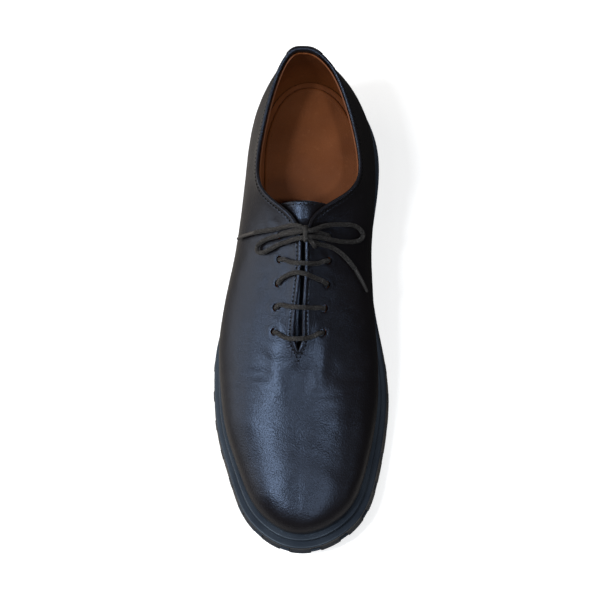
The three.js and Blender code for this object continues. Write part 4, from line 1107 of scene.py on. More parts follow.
@dataclass
class Upper:
    """The one-piece leather upper, with its creases, in millimetres."""

    last: Last
    eyelets: EyeletRows
    leather: float = 1.3
    seam_row: int = 6
    seam_groove: float = 0.16
    ease_from: float = 9
    ease_reach: float = 5.5
    ease_rounds: int = 16
    creases: tuple[Crease, ...] = (
        Crease((-47, -56), (-31, -60), -1.0, 2.2, 0.16),
        Crease((-34, -50), (-15, -55), 1.5, 3.2, 0.2),
        Crease((9, -63), (27, -60.5), -1.4, 2.4, 0.26),
        Crease((27, -54), (41, -51), 1.0, 2.6, 0.14),
        Crease((-18, 38), (-10, 27), 1.6, 2.1, 0.3),
        Crease((-24, 35), (-15, 24), 1.6, 2.3, 0.26),
        Crease((-17, 21), (-9, 15), 1.0, 1.9, 0.2),
        Crease((12, 20), (21, 15), 1.0, 1.9, 0.16),
        Crease((-30, 20), (-18, 12), 1.5, 2.8, 0.16),
        Crease((-16, 7), (-24, -2), 1.5, 2.6, 0.12),
    )
    swells: tuple[Swell, ...] = (
        Swell((2.5, -54), (7.5, 9), -0.9),
        Swell((2, -68), (9, 12), -0.35),
        Swell((15, -46), (4.5, 15), 0.75, -10),
        Swell((-12.5, -47), (4.8, 14), 0.6, 8),
        Swell((19, -69), (12, 6), -0.4),
        Swell((-28, -66), (13, 6), -0.35, 8),
        Swell((-12, -92), (10, 18), 0.18, 8),
    )

    def __post_init__(self) -> None:
        """Lays out the wall and the seam beside the rim."""
        self.wall = Wall(self.last)
        self.seam = self.seam_path()

    def seam_path(self) -> np.ndarray:
        """The line of the stitches that hold the rolled edge, which meets in a point past the slit."""
        order = self.wall.rim_order()
        row = self.wall.points[order, self.seam_row]
        tip = self.wall.points[order[0], 0]
        kept = np.linalg.norm(row - tip, axis=1) > 4.0
        turns = np.linspace(self.last.slit_end_turn, 1, 300)
        ridge = self.last.skin(turns, 1, 1.0)
        end = ridge[np.argmin(np.abs(np.linalg.norm(ridge - tip, axis=1) - 3.4))]
        return even_steps(np.vstack([end, row[kept], end]), 0.5)

    def relief(self, points: np.ndarray, depth: np.ndarray) -> np.ndarray:
        """How far the leather's face stands off the last at each point.

        Args:
            points: the plain skin.
            depth: each point's way down from the rim.

        Returns:
            The height of the creases and swells, the dimples round the eyelets, the seam's groove and a faint
            unevenness.
        """
        plan = points[..., :2]
        height = np.zeros(points.shape[:-1])
        for form in (*self.creases, *self.swells):
            height += form.height(plan)
        for hole in self.eyelets.holes:
            apart = np.linalg.norm(points - hole.point, axis=-1)
            height += 0.22 * np.exp(-((apart - 3.6) / 1.3) ** 2) - 0.35 * np.exp(-(apart / 2.3) ** 2)
        low = points[..., 2] > 40
        near = np.full(points.shape[:-1], 9.0)
        for chunk in np.array_split(np.argwhere(low & (depth < 12)), 60):
            at = tuple(chunk.T)
            near[at] = np.linalg.norm(points[at][:, None] - self.seam, axis=-1).min(1)
        height -= self.seam_groove * np.exp(-(near / 0.42) ** 2)
        height += 0.1 * np.exp(-((near - 1.2) / 0.6) ** 2)
        on_top = smooth_step(34, 46, points[..., 2])
        x, y = plan[..., 0], plan[..., 1]
        uneven = (0.05 * np.sin(x / 5.1 + 0.7 * np.sin(y / 9.3)) * np.sin(y / 7.7 + 1.1)
                  + 0.035 * np.sin(x / 2.9 + y / 4.1) * np.sin(y / 3.7 - x / 6.3))
        return height * on_top + uneven * on_top

    def build(self) -> bpy.types.Object:
        """Builds the leather, with its eyelets punched."""
        wall = self.wall
        raised = self.relief(wall.points, wall.depth)
        tuck = np.where(wall.open[:, None], 0.6 * np.clip(1 - wall.depth / 1.5, 0, 1) ** 2, 0)
        outer = raised - tuck
        edge = np.clip(wall.climb * 60 / 1.2, 0, 1)
        outer = outer - 0.35 * (1 - edge) ** 2
        piece = wall.shell("upper_leather", outer, raised - self.leather)
        self.ease_ridge(piece)
        return self.eyelets.punch(piece)

    def ease_ridge(self, piece: bpy.types.Object) -> None:
        """Rounds the line over the toe where the two sides of the wall meet."""
        turns = np.linspace(self.last.slit_end_turn, 1, 400)
        ridge = self.last.skin(turns, 1, 1.0)
        ridge = ridge[ridge[:, 1] < ridge[0, 1] - self.ease_from]
        body = bmesh.new()
        body.from_mesh(piece.data)
        spots = np.array([corner.co for corner in body.verts]) / MM
        apart = np.full(len(spots), 99.0)
        close = np.flatnonzero((spots[:, 1] < ridge[0, 1]) & (np.abs(spots[:, 0] - ridge[:, 0].mean()) < 14))
        apart[close] = np.linalg.norm(spots[close][:, None] - ridge, axis=-1).min(1)
        chosen = [corner for corner, gap in zip(body.verts, apart) if gap < self.ease_reach]
        for _ in range(self.ease_rounds):
            bmesh.ops.smooth_vert(body, verts=chosen, factor=0.5, use_axis_x=True, use_axis_y=True, use_axis_z=True)
        body.to_mesh(piece.data)
        body.free()


@dataclass
class RolledEdge:
    """The rolled leather edge round the collar and down both sides of the slit, in millimetres."""

    wall: Wall
    sunk: float = 0.95
    drop: float = 0.35
    thick: float = 1.3
    corners: int = 16

    def build(self) -> bpy.types.Object:
        """Sweeps the roll along the rim."""
        order = self.wall.rim_order()
        rim, out, up = self.wall.points[order, 0], self.wall.out[order, 0], self.wall.upward()[order]
        run = unit(np.gradient(rim, axis=0))
        up = unit(up - run * (up * run).sum(1, keepdims=True))
        out = unit(out - run * (out * run).sum(1, keepdims=True))
        middle = rim - out * self.sunk - up * self.drop
        walked = np.concatenate([[0], np.cumsum(np.linalg.norm(np.diff(middle, axis=0), axis=1))])
        from_end = np.minimum(walked, walked[-1] - walked)
        size = self.thick * (0.72 + 0.28 * smooth_step(0, 4, from_end))
        size = size + 0.05 * np.sin(walked / 6.3) + 0.04 * np.sin(walked / 2.7 + 1)
        angle = np.linspace(0, 2 * math.pi, self.corners, endpoint=False)
        ring = (np.cos(angle)[None, :, None] * out[:, None] * 0.92 + np.sin(angle)[None, :, None] * up[:, None])
        points = (middle[:, None] + size[:, None, None] * ring).reshape(-1, 3)
        count, sides = len(order), self.corners
        tips = np.vstack([middle[0] - run[0] * size[0] * 0.6, middle[-1] + run[-1] * size[-1] * 0.6])
        faces: list[tuple[int, ...]] = list(ring_faces(count, sides, False))
        faces += [(count * sides, (j + 1) % sides, j) for j in range(sides)]
        faces += [(count * sides + 1, (count - 1) * sides + j, (count - 1) * sides + (j + 1) % sides)
                  for j in range(sides)]
        return build_mesh("rolled_edge", np.vstack([points, tips]), faces)

    def bar_tack(self) -> bpy.types.Object:
        """The small bound knot of thread and leather that closes the slit's end."""
        order = self.wall.rim_order()
        tip = self.wall.points[order[0], 0] - self.wall.out[order[0], 0] * 0.55
        along = unit(self.wall.points[order[0], 0] - self.wall.points[order[8], 0])
        along[0] = 0.25 * along[0]
        across = unit(np.cross(along, self.wall.out[order[0], 0]))
        share = np.linspace(-1, 1, 9)
        path = tip + np.outer(share * 1.5, across) - np.outer(share ** 2 * 0.8, along)
        return tube("slit_end_tack", path, 0.75 * np.sqrt(1 - 0.35 * share ** 2), 12)


@dataclass
class Lining:
    """The tan lining inside the wall, with its pale cut edge below the roll, in millimetres."""

    last: Last
    eyelets: EyeletRows
    skin: float = 1.42
    thickness: float = 0.78
    below_rim: float = 2.7
    edge_stand: float = 1.25

    def build(self) -> bpy.types.Object:
        """Builds the lining, puckered round the back of the heel."""
        wall = Wall(self.last, rib_count=240, near_rows=(0, 0.25, 0.7, 1.4, 2.3, 3.4, 4.8, 6.4), far_rows=26,
                    rim_drop=self.below_rim, drop_wave=0.25)
        down = wall.depth - wall.depth[:, :1]
        pucker = 0.7 * back_pucker(wall.turn, wall.side)[:, None] * np.exp(-down / 2.6)
        slack = 0.25 * np.sin(wall.turn * 61 + wall.side)[:, None] * np.exp(-((down - 9) / 6) ** 2)
        stand = self.edge_stand * np.exp(-(down / 3.2) ** 2) * wall.open[:, None]
        outer = -self.skin - stand + 0.6 * pucker
        inner = outer - self.thickness + slack * 0.3
        outer = np.minimum(outer, -self.skin)
        piece = wall.shell("collar_lining", outer, inner, coarse=1, edge_slot=1)
        return self.eyelets.punch(piece)


@dataclass
class Tongue:
    """The leather tongue under the slit, which stands out past the throat, in millimetres."""

    last: Last
    width: float = 42
    narrowing: float = 0.72
    root_setback: float = 3
    standout: float = 15.5
    length: float = 97
    rise: float = 0.33
    thickness: float = 2
    under_skin: float = 2.95
    hollow: float = 9
    flatness: float = 2.6
    rows: int = 96
    columns: int = 48
    stitch_inset: float = 2.1

    def low_skin(self, along: np.ndarray, across: np.ndarray) -> np.ndarray:
        """Height of the tongue's top under the wall."""
        height = np.zeros_like(along)
        for side in (1, -1):
            here = (across > self.last.slit_middle(along)) == (side > 0)
            turn, climb = self.last.climb_to(along[here], across[here], side)
            point = self.last.skin(turn, side, climb)
            height[here] = point[..., 2] - self.under_skin / self.last.normal(turn, side, climb)[..., 2]
        return height

    def top(self, along: np.ndarray, share: np.ndarray) -> np.ndarray:
        """Points of the tongue's top.

        Args:
            along: places along the last.
            share: places across, from -1 to 1.

        Returns:
            The points.
        """
        tip = self.last.throat_along - self.standout
        half = self.width / 2 * (1 + (self.narrowing - 1) * (along - tip) / self.length)
        middle = self.last.slit_middle(along)
        root = np.maximum(along, self.last.throat_along + self.root_setback)

        def height_at(place: np.ndarray) -> np.ndarray:
            """The low skin's height at a place across, from -1 to 1."""
            return self.low_skin(root, middle + place * half)

        near, far = 0.19, 0.36
        edges = {place: height_at(np.full_like(share, place)) for place in (-far, -near, near, far)}
        first, second = (edges[-near] + edges[near]) / 2, (edges[-far] + edges[far]) / 2
        crown = (first * far ** 2 - second * near ** 2) / (far ** 2 - near ** 2)
        bridge = crown + (first - crown) * (share / near) ** 2 + (edges[near] - edges[-near]) / 2 * share / near
        outside = np.where(np.abs(share) > near, share, np.where(share < 0, -near, near))
        height = np.where(np.abs(share) > near, height_at(outside), bridge)
        knots = np.array([-0.95, -0.7, -0.5, -far, -near, near, far, 0.5, 0.7, 0.95])
        sampled = np.stack([height_at(np.full_like(share, place)) for place in knots], -1)
        fit = sampled @ np.linalg.pinv(np.stack([knots ** 0, knots, knots ** 2, knots ** 4], 1)).T
        crowned = fit[..., 0] + fit[..., 1] * share + fit[..., 2] * share ** 2 + fit[..., 3] * share ** 4
        free = smooth_step(-2, 9, root - along)
        sunk = self.hollow * smooth_step(3, 14, along - self.last.throat_along) * np.exp(-(share / 0.5) ** 2)
        flat = self.flatness * free * np.clip(1 - share ** 2, 0, 1) ** 1.5
        height = height + (crowned - height) * free + (root - along) * self.rise - sunk - flat
        return self.last.place(along, middle + share * half, height)

    def build(self) -> bpy.types.Object:
        """Builds the tongue, with rounded corners and a softly creased face."""
        tip = self.last.throat_along - self.standout
        shares = np.linspace(-1, 1, self.columns + 1)
        steps = np.linspace(0, 1, self.rows + 1) ** 1.15
        along, share = np.meshgrid(tip + self.length * steps, shares, indexing="ij")
        fade = np.exp(-(along - tip) / 14)
        along = along + fade * (3.4 * np.abs(share) ** 6 - 1.6 * share ** 2)
        face = self.top(along, share)
        self.stitches = self.stitch_path(tip)
        from_tip = (along - tip)
        dome = 0.35 * np.exp(-((from_tip - 7) / 4.5) ** 2) * np.exp(-(share / 0.45) ** 2)
        dip = 0.25 * np.exp(-((from_tip - self.stitch_inset - 0.2 * share ** 2) / 0.5) ** 2)
        border = np.minimum(np.minimum(np.arange(self.rows + 1)[:, None], self.columns // 2
                                       - np.abs(np.arange(self.columns + 1) - self.columns // 2)[None]), 3)
        rounding = np.array([0.75, 0.28, 0.06, 0.0])[border]
        face[..., 2] += dome - dip - rounding
        below = face.copy()
        below[..., 2] -= self.thickness - 2 * rounding
        rows, columns = face.shape[:2]
        points = np.vstack([face.reshape(-1, 3), below.reshape(-1, 3)])
        count = rows * columns
        faces = []
        for i in range(rows - 1):
            for j in range(columns - 1):
                a = i * columns + j
                faces.append((a, a + 1, a + columns + 1, a + columns))
                faces.append((count + a, count + a + columns, count + a + columns + 1, count + a + 1))
        rim = ([(0, j) for j in range(columns)] + [(i, columns - 1) for i in range(1, rows)]
               + [(rows - 1, j) for j in range(columns - 2, -1, -1)] + [(i, 0) for i in range(rows - 2, 0, -1)])
        for (i, j), (k, m) in zip(rim, rim[1:] + rim[:1]):
            a, b = i * columns + j, k * columns + m
            faces.append((a, b, count + b, count + a))
        return build_mesh("tongue_leather", points, faces, Shading.CREASED)

    def stitch_path(self, tip: float) -> np.ndarray:
        """The line of stitches just inside the tongue's top edge and down its sides."""
        share = np.concatenate([np.full(14, -0.9), np.linspace(-0.9, 0.9, 41)[1:-1], np.full(14, 0.9)])
        side_run = np.linspace(16, 4.2, 14)
        top_run = self.stitch_inset - 1.4 * share[14:-14] ** 2 + 2.2 * np.abs(share[14:-14] / 0.9) ** 9
        along = tip + np.concatenate([side_run, top_run, side_run[::-1]])
        path = self.top(along, share)
        path[:, 2] -= 0.12
        return even_steps(path, 0.5)


@dataclass
class BackTab:
    """The short band folded over the back of the collar, in millimetres."""

    last: Last
    width: float = 21
    depth: float = 6
    thickness: float = 0.5
    stations: int = 29

    def build(self) -> bpy.types.Object:
        """Builds the band as a folded strip that follows the collar."""
        turns = np.linspace(0, float(turn_at(0.16)), 800)
        widest = float(np.interp(self.width / 2, self.last.spread(turns) * self.last.collar_width / 2, turns))
        fold = [(-6, 0.2), (-5.2, 0.26), (-4, 0.28), (-2.8, 0.3), (-1.7, 0.42)]
        arc = np.radians(np.linspace(0, 180, 13))
        middle = np.array([[n, u] for u, n in fold]
                          + [[-0.95 + 1.55 * math.cos(a), -0.35 + 1.62 * math.sin(a)] for a in arc]
                          + [[-2.42, -1.3], [-2.3, -2.0], [-2.2, -2.6]])
        run = unit(np.gradient(middle, axis=0))
        square = np.stack([run[:, 1], -run[:, 0]], 1)
        share = np.linspace(0, 1, len(middle))
        half = self.thickness / 2 * (1 - 0.55 * np.abs(2 * share - 1) ** 12)
        ring = np.vstack([middle - square * half[:, None], (middle + square * half[:, None])[::-1]])
        sections = []
        for station in np.linspace(-1, 1, self.stations):
            side = -1 if station < 0 else 1
            turn = max(1e-4, abs(station) * widest)
            climbs = np.linspace(1, 0.8, 60)
            wall = self.last.skin(turn, side, climbs)
            walked = np.concatenate([[0], np.cumsum(np.linalg.norm(np.diff(wall, axis=0), axis=1))])
            up = unit(wall[0] - wall[6])
            rim_out = self.back_direction(turn, side, 1.0, up)
            slim = 1 - 0.12 * abs(station) ** 6
            at = []
            for n, u in ring:
                n = -1.1 + (n + 1.1) * slim
                climb = float(np.interp(max(0, -u), walked, climbs))
                foot = self.last.skin(turn, side, climb)
                at.append(foot + rim_out * n + up * max(0, u))
            sections.append(at)
        points = np.array(sections).reshape(-1, 3)
        size = len(ring)
        faces: list[tuple[int, ...]] = list(ring_faces(self.stations, size, False))
        for start in (0, (self.stations - 1) * size):
            faces += [(start + j, start + j + 1, start + size - 2 - j, start + size - 1 - j)
                      for j in range(size // 2 - 1)]
        return build_mesh("back_tab_leather", points, faces, Shading.CREASED, crease_angle=50)

    def back_direction(self, turn: float, side: int, climb: float, up: np.ndarray) -> np.ndarray:
        """The direction out of the wall at the back, square to the way up."""
        foot = self.last.feather(np.array([turn]), side)
        out = np.array([float(foot[3][0]), -float(foot[2][0]), 0.0])
        skin_out = self.last.normal(turn, side, min(climb, 0.998))
        out = unit(0.5 * out + skin_out * (1 if float(np.dot(skin_out, out)) > 0 else -1))
        return unit(out - up * float(np.dot(out, up)))


Reach = Callable[[np.ndarray, int], np.ndarray]
Height = Callable[[np.ndarray, np.ndarray, int], np.ndarray]


@dataclass
class Plate:
    """A plate that follows the last's outline: its section runs from the top's edge out, down and back in."""

    last: Last
    turns: np.ndarray
    layers: list[tuple[Reach, Height]]
    across: int = 14

    def build(self, name: str, crease_angle: float = 38) -> bpy.types.Object:
        """Builds the plate, with a flat end where it doesn't reach the toe."""
        columns = {}
        for side in (1, -1):
            at = []
            for reach, height in self.layers:
                along, over = self.last.edge_at(self.turns, side, reach(self.turns, side))
                at.append(self.last.place(along, over, height(along, self.turns, side)))
            columns[side] = np.stack(at, 1)
        share = np.linspace(0, 1, self.across + 1)[1:-1, None]

        def between(start: np.ndarray, end: np.ndarray) -> np.ndarray:
            """Points in even steps from one row to another."""
            return start[:, None] * (1 - share) + end[:, None] * share

        ring = np.concatenate([columns[1], between(columns[1][:, -1], columns[-1][:, -1]),
                               columns[-1][:, ::-1], between(columns[-1][:, 0], columns[1][:, 0])], axis=1)
        size = ring.shape[1]
        faces: list[tuple[int, ...]] = list(ring_faces(len(self.turns), size, False))
        if self.turns[-1] < 0.999:
            faces.append(tuple((len(self.turns) - 1) * size + j for j in range(size)))
        return build_mesh(name, ring.reshape(-1, 3), faces, Shading.CREASED, crease_angle=crease_angle)


def level(reach: Callable[[np.ndarray], np.ndarray], inset: float = 0.0) -> Reach:
    """A reach that is the same on both sides, less an inset."""
    return lambda turn, side: reach(turn) - inset


def flat(height: Callable[[np.ndarray], np.ndarray], lift: float = 0.0) -> Height:
    """A height that depends on the place along the last only, plus a lift."""
    return lambda along, turn, side: height(along) + lift


@dataclass
class Footbed:
    """The insole board and the leather sock on it, with its turned edge, in millimetres."""

    last: Last
    board: float = 2.8
    sock: float = 1.2
    sock_inset: float = 6.5
    wall_gap: float = 0.45
    rise: float = 0.06

    def board_reach(self, turn: np.ndarray) -> np.ndarray:
        """How far the board stands past the feather line, which is inside it."""
        return -(self.last.wall + self.wall_gap) / np.cos(np.radians(self.last.lean(turn)))

    def sock_reach(self, turn: np.ndarray) -> np.ndarray:
        """The same for the sock."""
        return np.minimum(-self.sock_inset, self.board_reach(turn) - self.last.clearance)

    def build_board(self) -> bpy.types.Object:
        """Builds the insole."""
        reach, seat = self.board_reach, self.last.seat
        layers = [(level(reach, 0.6), flat(seat, self.board)), (level(reach, 0.15), flat(seat, self.board - 0.15)),
                  (level(reach), flat(seat, self.board - 0.6)), (level(reach), flat(seat, 0.4)),
                  (level(reach, 0.4), flat(seat))]
        return Plate(self.last, np.linspace(0, 1, 181), layers).build("insole_board")

    def build_sock(self) -> bpy.types.Object:
        """Builds the sock, whose edge is a soft low roll."""
        reach, seat = self.sock_reach, self.last.seat
        base = self.board + self.last.clearance
        section = [(3.6, self.sock), (2.6, self.sock + 0.5 * self.rise), (1.7, self.sock + self.rise),
                   (1.0, self.sock + 0.4 * self.rise), (0.45, self.sock - 0.3), (0.1, self.sock - 0.7),
                   (0.0, 0.2), (0.3, 0.0)]
        layers = [(level(reach, inset), flat(seat, base + lift)) for inset, lift in section]
        return Plate(self.last, np.linspace(0, 1, 221), layers).build("sock_leather")

    def seam(self) -> np.ndarray:
        """The line of the sock's stitches, inside its roll."""
        turns = np.linspace(0, 1, 500)
        rows = []
        for side, order in ((1, slice(None)), (-1, slice(None, None, -1))):
            along, over = self.last.edge_at(turns, side, self.sock_reach(turns) - 2.9)
            height = self.last.seat(along) + self.board + self.last.clearance + self.sock
            rows.append(self.last.place(along, over, height)[order])
        return even_steps(np.vstack(rows), 0.6)


@dataclass
class Sole:
    """The midsole, the banded and lugged outsole and the heel block, in millimetres."""

    last: Last
    band: float = 4.2
    groove: float = 1.1
    flare: float = 1.4
    heel_breast: float = 82
    heel_draft: float = 2.2
    lug_depth: float = 5
    lug_reach: float = 13
    lug_pitch: float = 18
    lug_gap: float = 6
    lugs_from: float = 0.6
    well_from: float = 0.62
    well_to: float = 0.93
    star_size: float = 15
    star_arm: float = 6
    star_count: int = 5

    def build_midsole(self) -> bpy.types.Object:
        """Builds the midsole, whose edge shows as the welt."""
        reach, gap = self.last.midsole_reach, self.last.clearance
        top = -gap
        low = -gap - self.last.midsole_thickness
        section = [(4.6, top), (0.95, top + 0.02), (0.45, top - 0.12), (0.12, top - 0.42), (0.0, top - 0.85),
                   (0.0, low + 1.0), (0.12, low + 0.45), (0.55, low + 0.1), (1.4, low)]
        layers = [(level(reach, inset), flat(self.last.seat, lift)) for inset, lift in section]
        return Plate(self.last, np.linspace(0, 1, 241), layers).build("midsole_rubber")

    def outline_length(self, reach: Callable[[np.ndarray], np.ndarray], side: int, start: float,
                       end: float) -> tuple[np.ndarray, np.ndarray]:
        """Turns along a stretch of the edge and how far each lies from its start."""
        turns = np.linspace(start, end, 1500)
        along, over = self.last.edge_at(turns, side, reach(turns))
        return turns, np.concatenate([[0], np.cumsum(np.hypot(np.diff(along), np.diff(over)))])

    def notches(self, reach: Callable[[np.ndarray], np.ndarray], start: float,
                end: float) -> tuple[Callable[[np.ndarray, int], np.ndarray], np.ndarray]:
        """Lays out the notches between lugs along a stretch of the edge.

        Args:
            reach: how far the edge stands past the feather line.
            start: the stretch's first turn.
            end: its last turn.

        Returns:
            A function that gives 1 in a notch and 0 on a lug, and the turns where notches start and end.
        """
        walks = {side: self.outline_length(reach, side, start, end) for side in (1, -1)}
        pitches = {side: walk[1][-1] / max(1, round(walk[1][-1] / self.lug_pitch)) for side, walk in walks.items()}

        def share(turn: np.ndarray, side: int) -> np.ndarray:
            """Share of a notch at turns round one side."""
            walked = np.interp(turn, *walks[side])
            off = np.abs(np.mod(walked, pitches[side]) - pitches[side] / 2)
            inside = (turn >= start) & (turn <= end)
            return np.where(inside, 1 - smooth_step(self.lug_gap / 2 - 0.3, self.lug_gap / 2 + 0.3, off), 0)

        marks = []
        for side, (turns, walked) in walks.items():
            middles = np.arange(pitches[side] / 2, walked[-1], pitches[side])
            for shift in (-0.35, -0.12, 0.12, 0.35):
                for edge in (-1, 1):
                    marks.append(np.interp(middles + edge * (self.lug_gap / 2 + shift), walked, turns))
        return share, np.concatenate(marks)

    def stations(self, marks: np.ndarray, end: float, count: int) -> np.ndarray:
        """Evenly spaced turns up to an end, with the marks put in between."""
        turns = np.unique(np.concatenate([np.linspace(0, end, count), marks[(marks > 0) & (marks < end)]]))
        keep = np.concatenate([[True], np.diff(turns) > 4e-5])
        return turns[keep]

    def build_outsole(self) -> bpy.types.Object:
        """Builds the outsole with its band, groove, lugs and well."""
        last, tread, top = self.last, self.last.tread, self.last.sole_top
        notch, marks = self.notches(last.sole_reach, float(turn_at(self.lugs_from)), 1.0)
        well_turns = [float(turn_at(self.well_from)), float(turn_at(self.well_to))]

        def band_low(along: np.ndarray) -> np.ndarray:
            """Height of the band's lower edge."""
            return np.maximum(tread(along) + 2, top(along) - self.band)

        def wall_top(along: np.ndarray) -> np.ndarray:
            """Height where the lugs' wall ends, under the groove."""
            return np.maximum(tread(along) + 1, top(along) - self.band - self.groove)

        def lugged(along: np.ndarray, turn: np.ndarray, side: int) -> np.ndarray:
            """Height of the tread, with its lugs cut by the notches."""
            room = np.minimum(self.lug_depth, wall_top(along) - tread(along) - 0.8)
            return tread(along) + room * notch(turn, side)

        def welled(along: np.ndarray, turn: np.ndarray, side: int) -> np.ndarray:
            """Height of the tread, raised at the well."""
            inside = smooth_step(well_turns[0] - 2e-3, well_turns[0] + 2e-3, turn)
            inside = inside * (1 - smooth_step(well_turns[1] - 2e-3, well_turns[1] + 2e-3, turn))
            return tread(along) + self.lug_depth * inside

        def part_way(share: float) -> Height:
            """A height between the wall's top and the lugs."""
            return lambda along, turn, side: (wall_top(along) * (1 - share) + share * lugged(along, turn, side))

        reach = last.sole_reach
        layers = [(level(reach, 6.0), flat(top)), (level(reach, 1.3), flat(top, 0.02)),
                  (level(reach, 0.6), flat(top, -0.18)), (level(reach, 0.15), flat(top, -0.6)),
                  (level(reach, 0.0), flat(top, -1.2)), (level(reach, 0.0), flat(band_low, 0.9)),
                  (level(reach, 0.25), flat(band_low, 0.3)), (level(reach, 0.7), flat(band_low, 0.0)),
                  (level(reach, self.groove), flat(wall_top, 0.1)),
                  (level(reach, self.groove - 0.5), part_way(0.25)), (level(reach, -0.3), part_way(0.6)),
                  (level(reach, -self.flare), part_way(0.9)), (level(reach, 0.5 - self.flare), lugged)]
        layers += [(level(reach, inset), lugged) for inset in (6.0, self.lug_reach - 0.3)]
        layers += [(level(reach, self.lug_reach + 0.1), flat(tread)), (level(reach, self.lug_reach + 1.8), flat(tread)),
                   (level(reach, self.lug_reach + 2.2), welled)]
        extra = np.concatenate([marks] + [[t - 2e-3, t - 7e-4, t + 7e-4, t + 2e-3] for t in well_turns])
        return Plate(last, self.stations(extra, 1.0, 221), layers).build("outsole_rubber", 32)

    def build_heel(self) -> bpy.types.Object:
        """Builds the heel block with the lugs round its foot."""
        last = self.last
        end = float(turn_at(self.heel_breast / last.length))

        def top_reach(turn: np.ndarray) -> np.ndarray:
            """Reach of the heel's top, inside the sole's edge."""
            return last.sole_reach(turn) - 2 * self.groove

        def foot_reach(turn: np.ndarray) -> np.ndarray:
            """Reach of the heel's foot, drawn in by the draft."""
            return top_reach(turn) - self.heel_draft

        notch, marks = self.notches(foot_reach, 0.0, end)

        def top(along: np.ndarray) -> np.ndarray:
            """Height of the heel's top, just under the seat."""
            return last.tread(along) - last.clearance

        def lugged(along: np.ndarray, turn: np.ndarray, side: int) -> np.ndarray:
            """Height of the heel's foot, with its notches."""
            return self.lug_depth * notch(turn, side)

        def draft(share: float) -> Reach:
            """A reach drawn in by a share of the heel's draft."""
            return lambda turn, side: top_reach(turn) - self.heel_draft * share

        def part_way(share: float) -> Height:
            """A height between the heel's top and its foot."""
            return lambda along, turn, side: top(along) * (1 - share) + share * lugged(along, turn, side)

        layers = [(level(top_reach, 5.0), flat(top)), (level(top_reach, 0.5), flat(top)),
                  (level(top_reach, 0.1), flat(top, -0.3)), (draft(0.3), part_way(0.3)), (draft(0.62), part_way(0.6)),
                  (draft(0.9), part_way(0.9)), (draft(1.0), part_way(0.965)), (draft(1.18), lugged),
                  (level(foot_reach, 6.0), lugged), (level(foot_reach, self.lug_reach - 0.2), lugged),
                  (level(foot_reach, self.lug_reach + 0.2), flat(np.zeros_like))]
        return Plate(last, self.stations(marks, end, 121), layers).build("heel_rubber", 32)

    def star_places(self) -> np.ndarray:
        """Where the stars stand in the well."""
        first = float(self.well_from) * self.last.length + self.star_size * 1.1
        along = first + np.arange(self.star_count) * self.lug_pitch
        over = self.last.swing(turn_at(along / self.last.length)) * self.last.ball_width
        return self.last.place(along, over, self.last.tread(along) + self.lug_depth)


def line_object(name: str, paths: Sequence[np.ndarray], closed: bool = False) -> bpy.types.Object:
    """Makes an object of bare edges that follow paths, in millimetres."""
    points, edges = [], []
    for path in paths:
        start = len(points)
        points += (np.asarray(path) * MM).tolist()
        edges += [(start + i, start + i + 1) for i in range(len(path) - 1)]
        if closed:
            edges.append((start + len(path) - 1, start))
    mesh = bpy.data.meshes.new(name)
    mesh.from_pydata(points, edges, [])
    piece = bpy.data.objects.new(name, mesh)
    bpy.context.scene.collection.objects.link(piece)
    return piece


def run_tree(piece: bpy.types.Object, tree: bpy.types.NodeTree, sizes: dict[str, object]) -> bpy.types.Object:
    """Runs a Geometry Nodes tree on a piece and keeps its plain mesh.

    Args:
        piece: the piece that the tree starts from.
        tree: the tree.
        sizes: a value for each of the tree's named inputs.

    Returns:
        The piece, with what the tree made as its mesh.
    """
    modifier = piece.modifiers.new("nodes", "NODES")
    modifier.node_group = tree
    for socket in tree.interface.items_tree:
        if getattr(socket, "in_out", "") == "INPUT" and socket.name in sizes:
            modifier[socket.identifier] = sizes[socket.name]
    return bake_modifiers(piece)


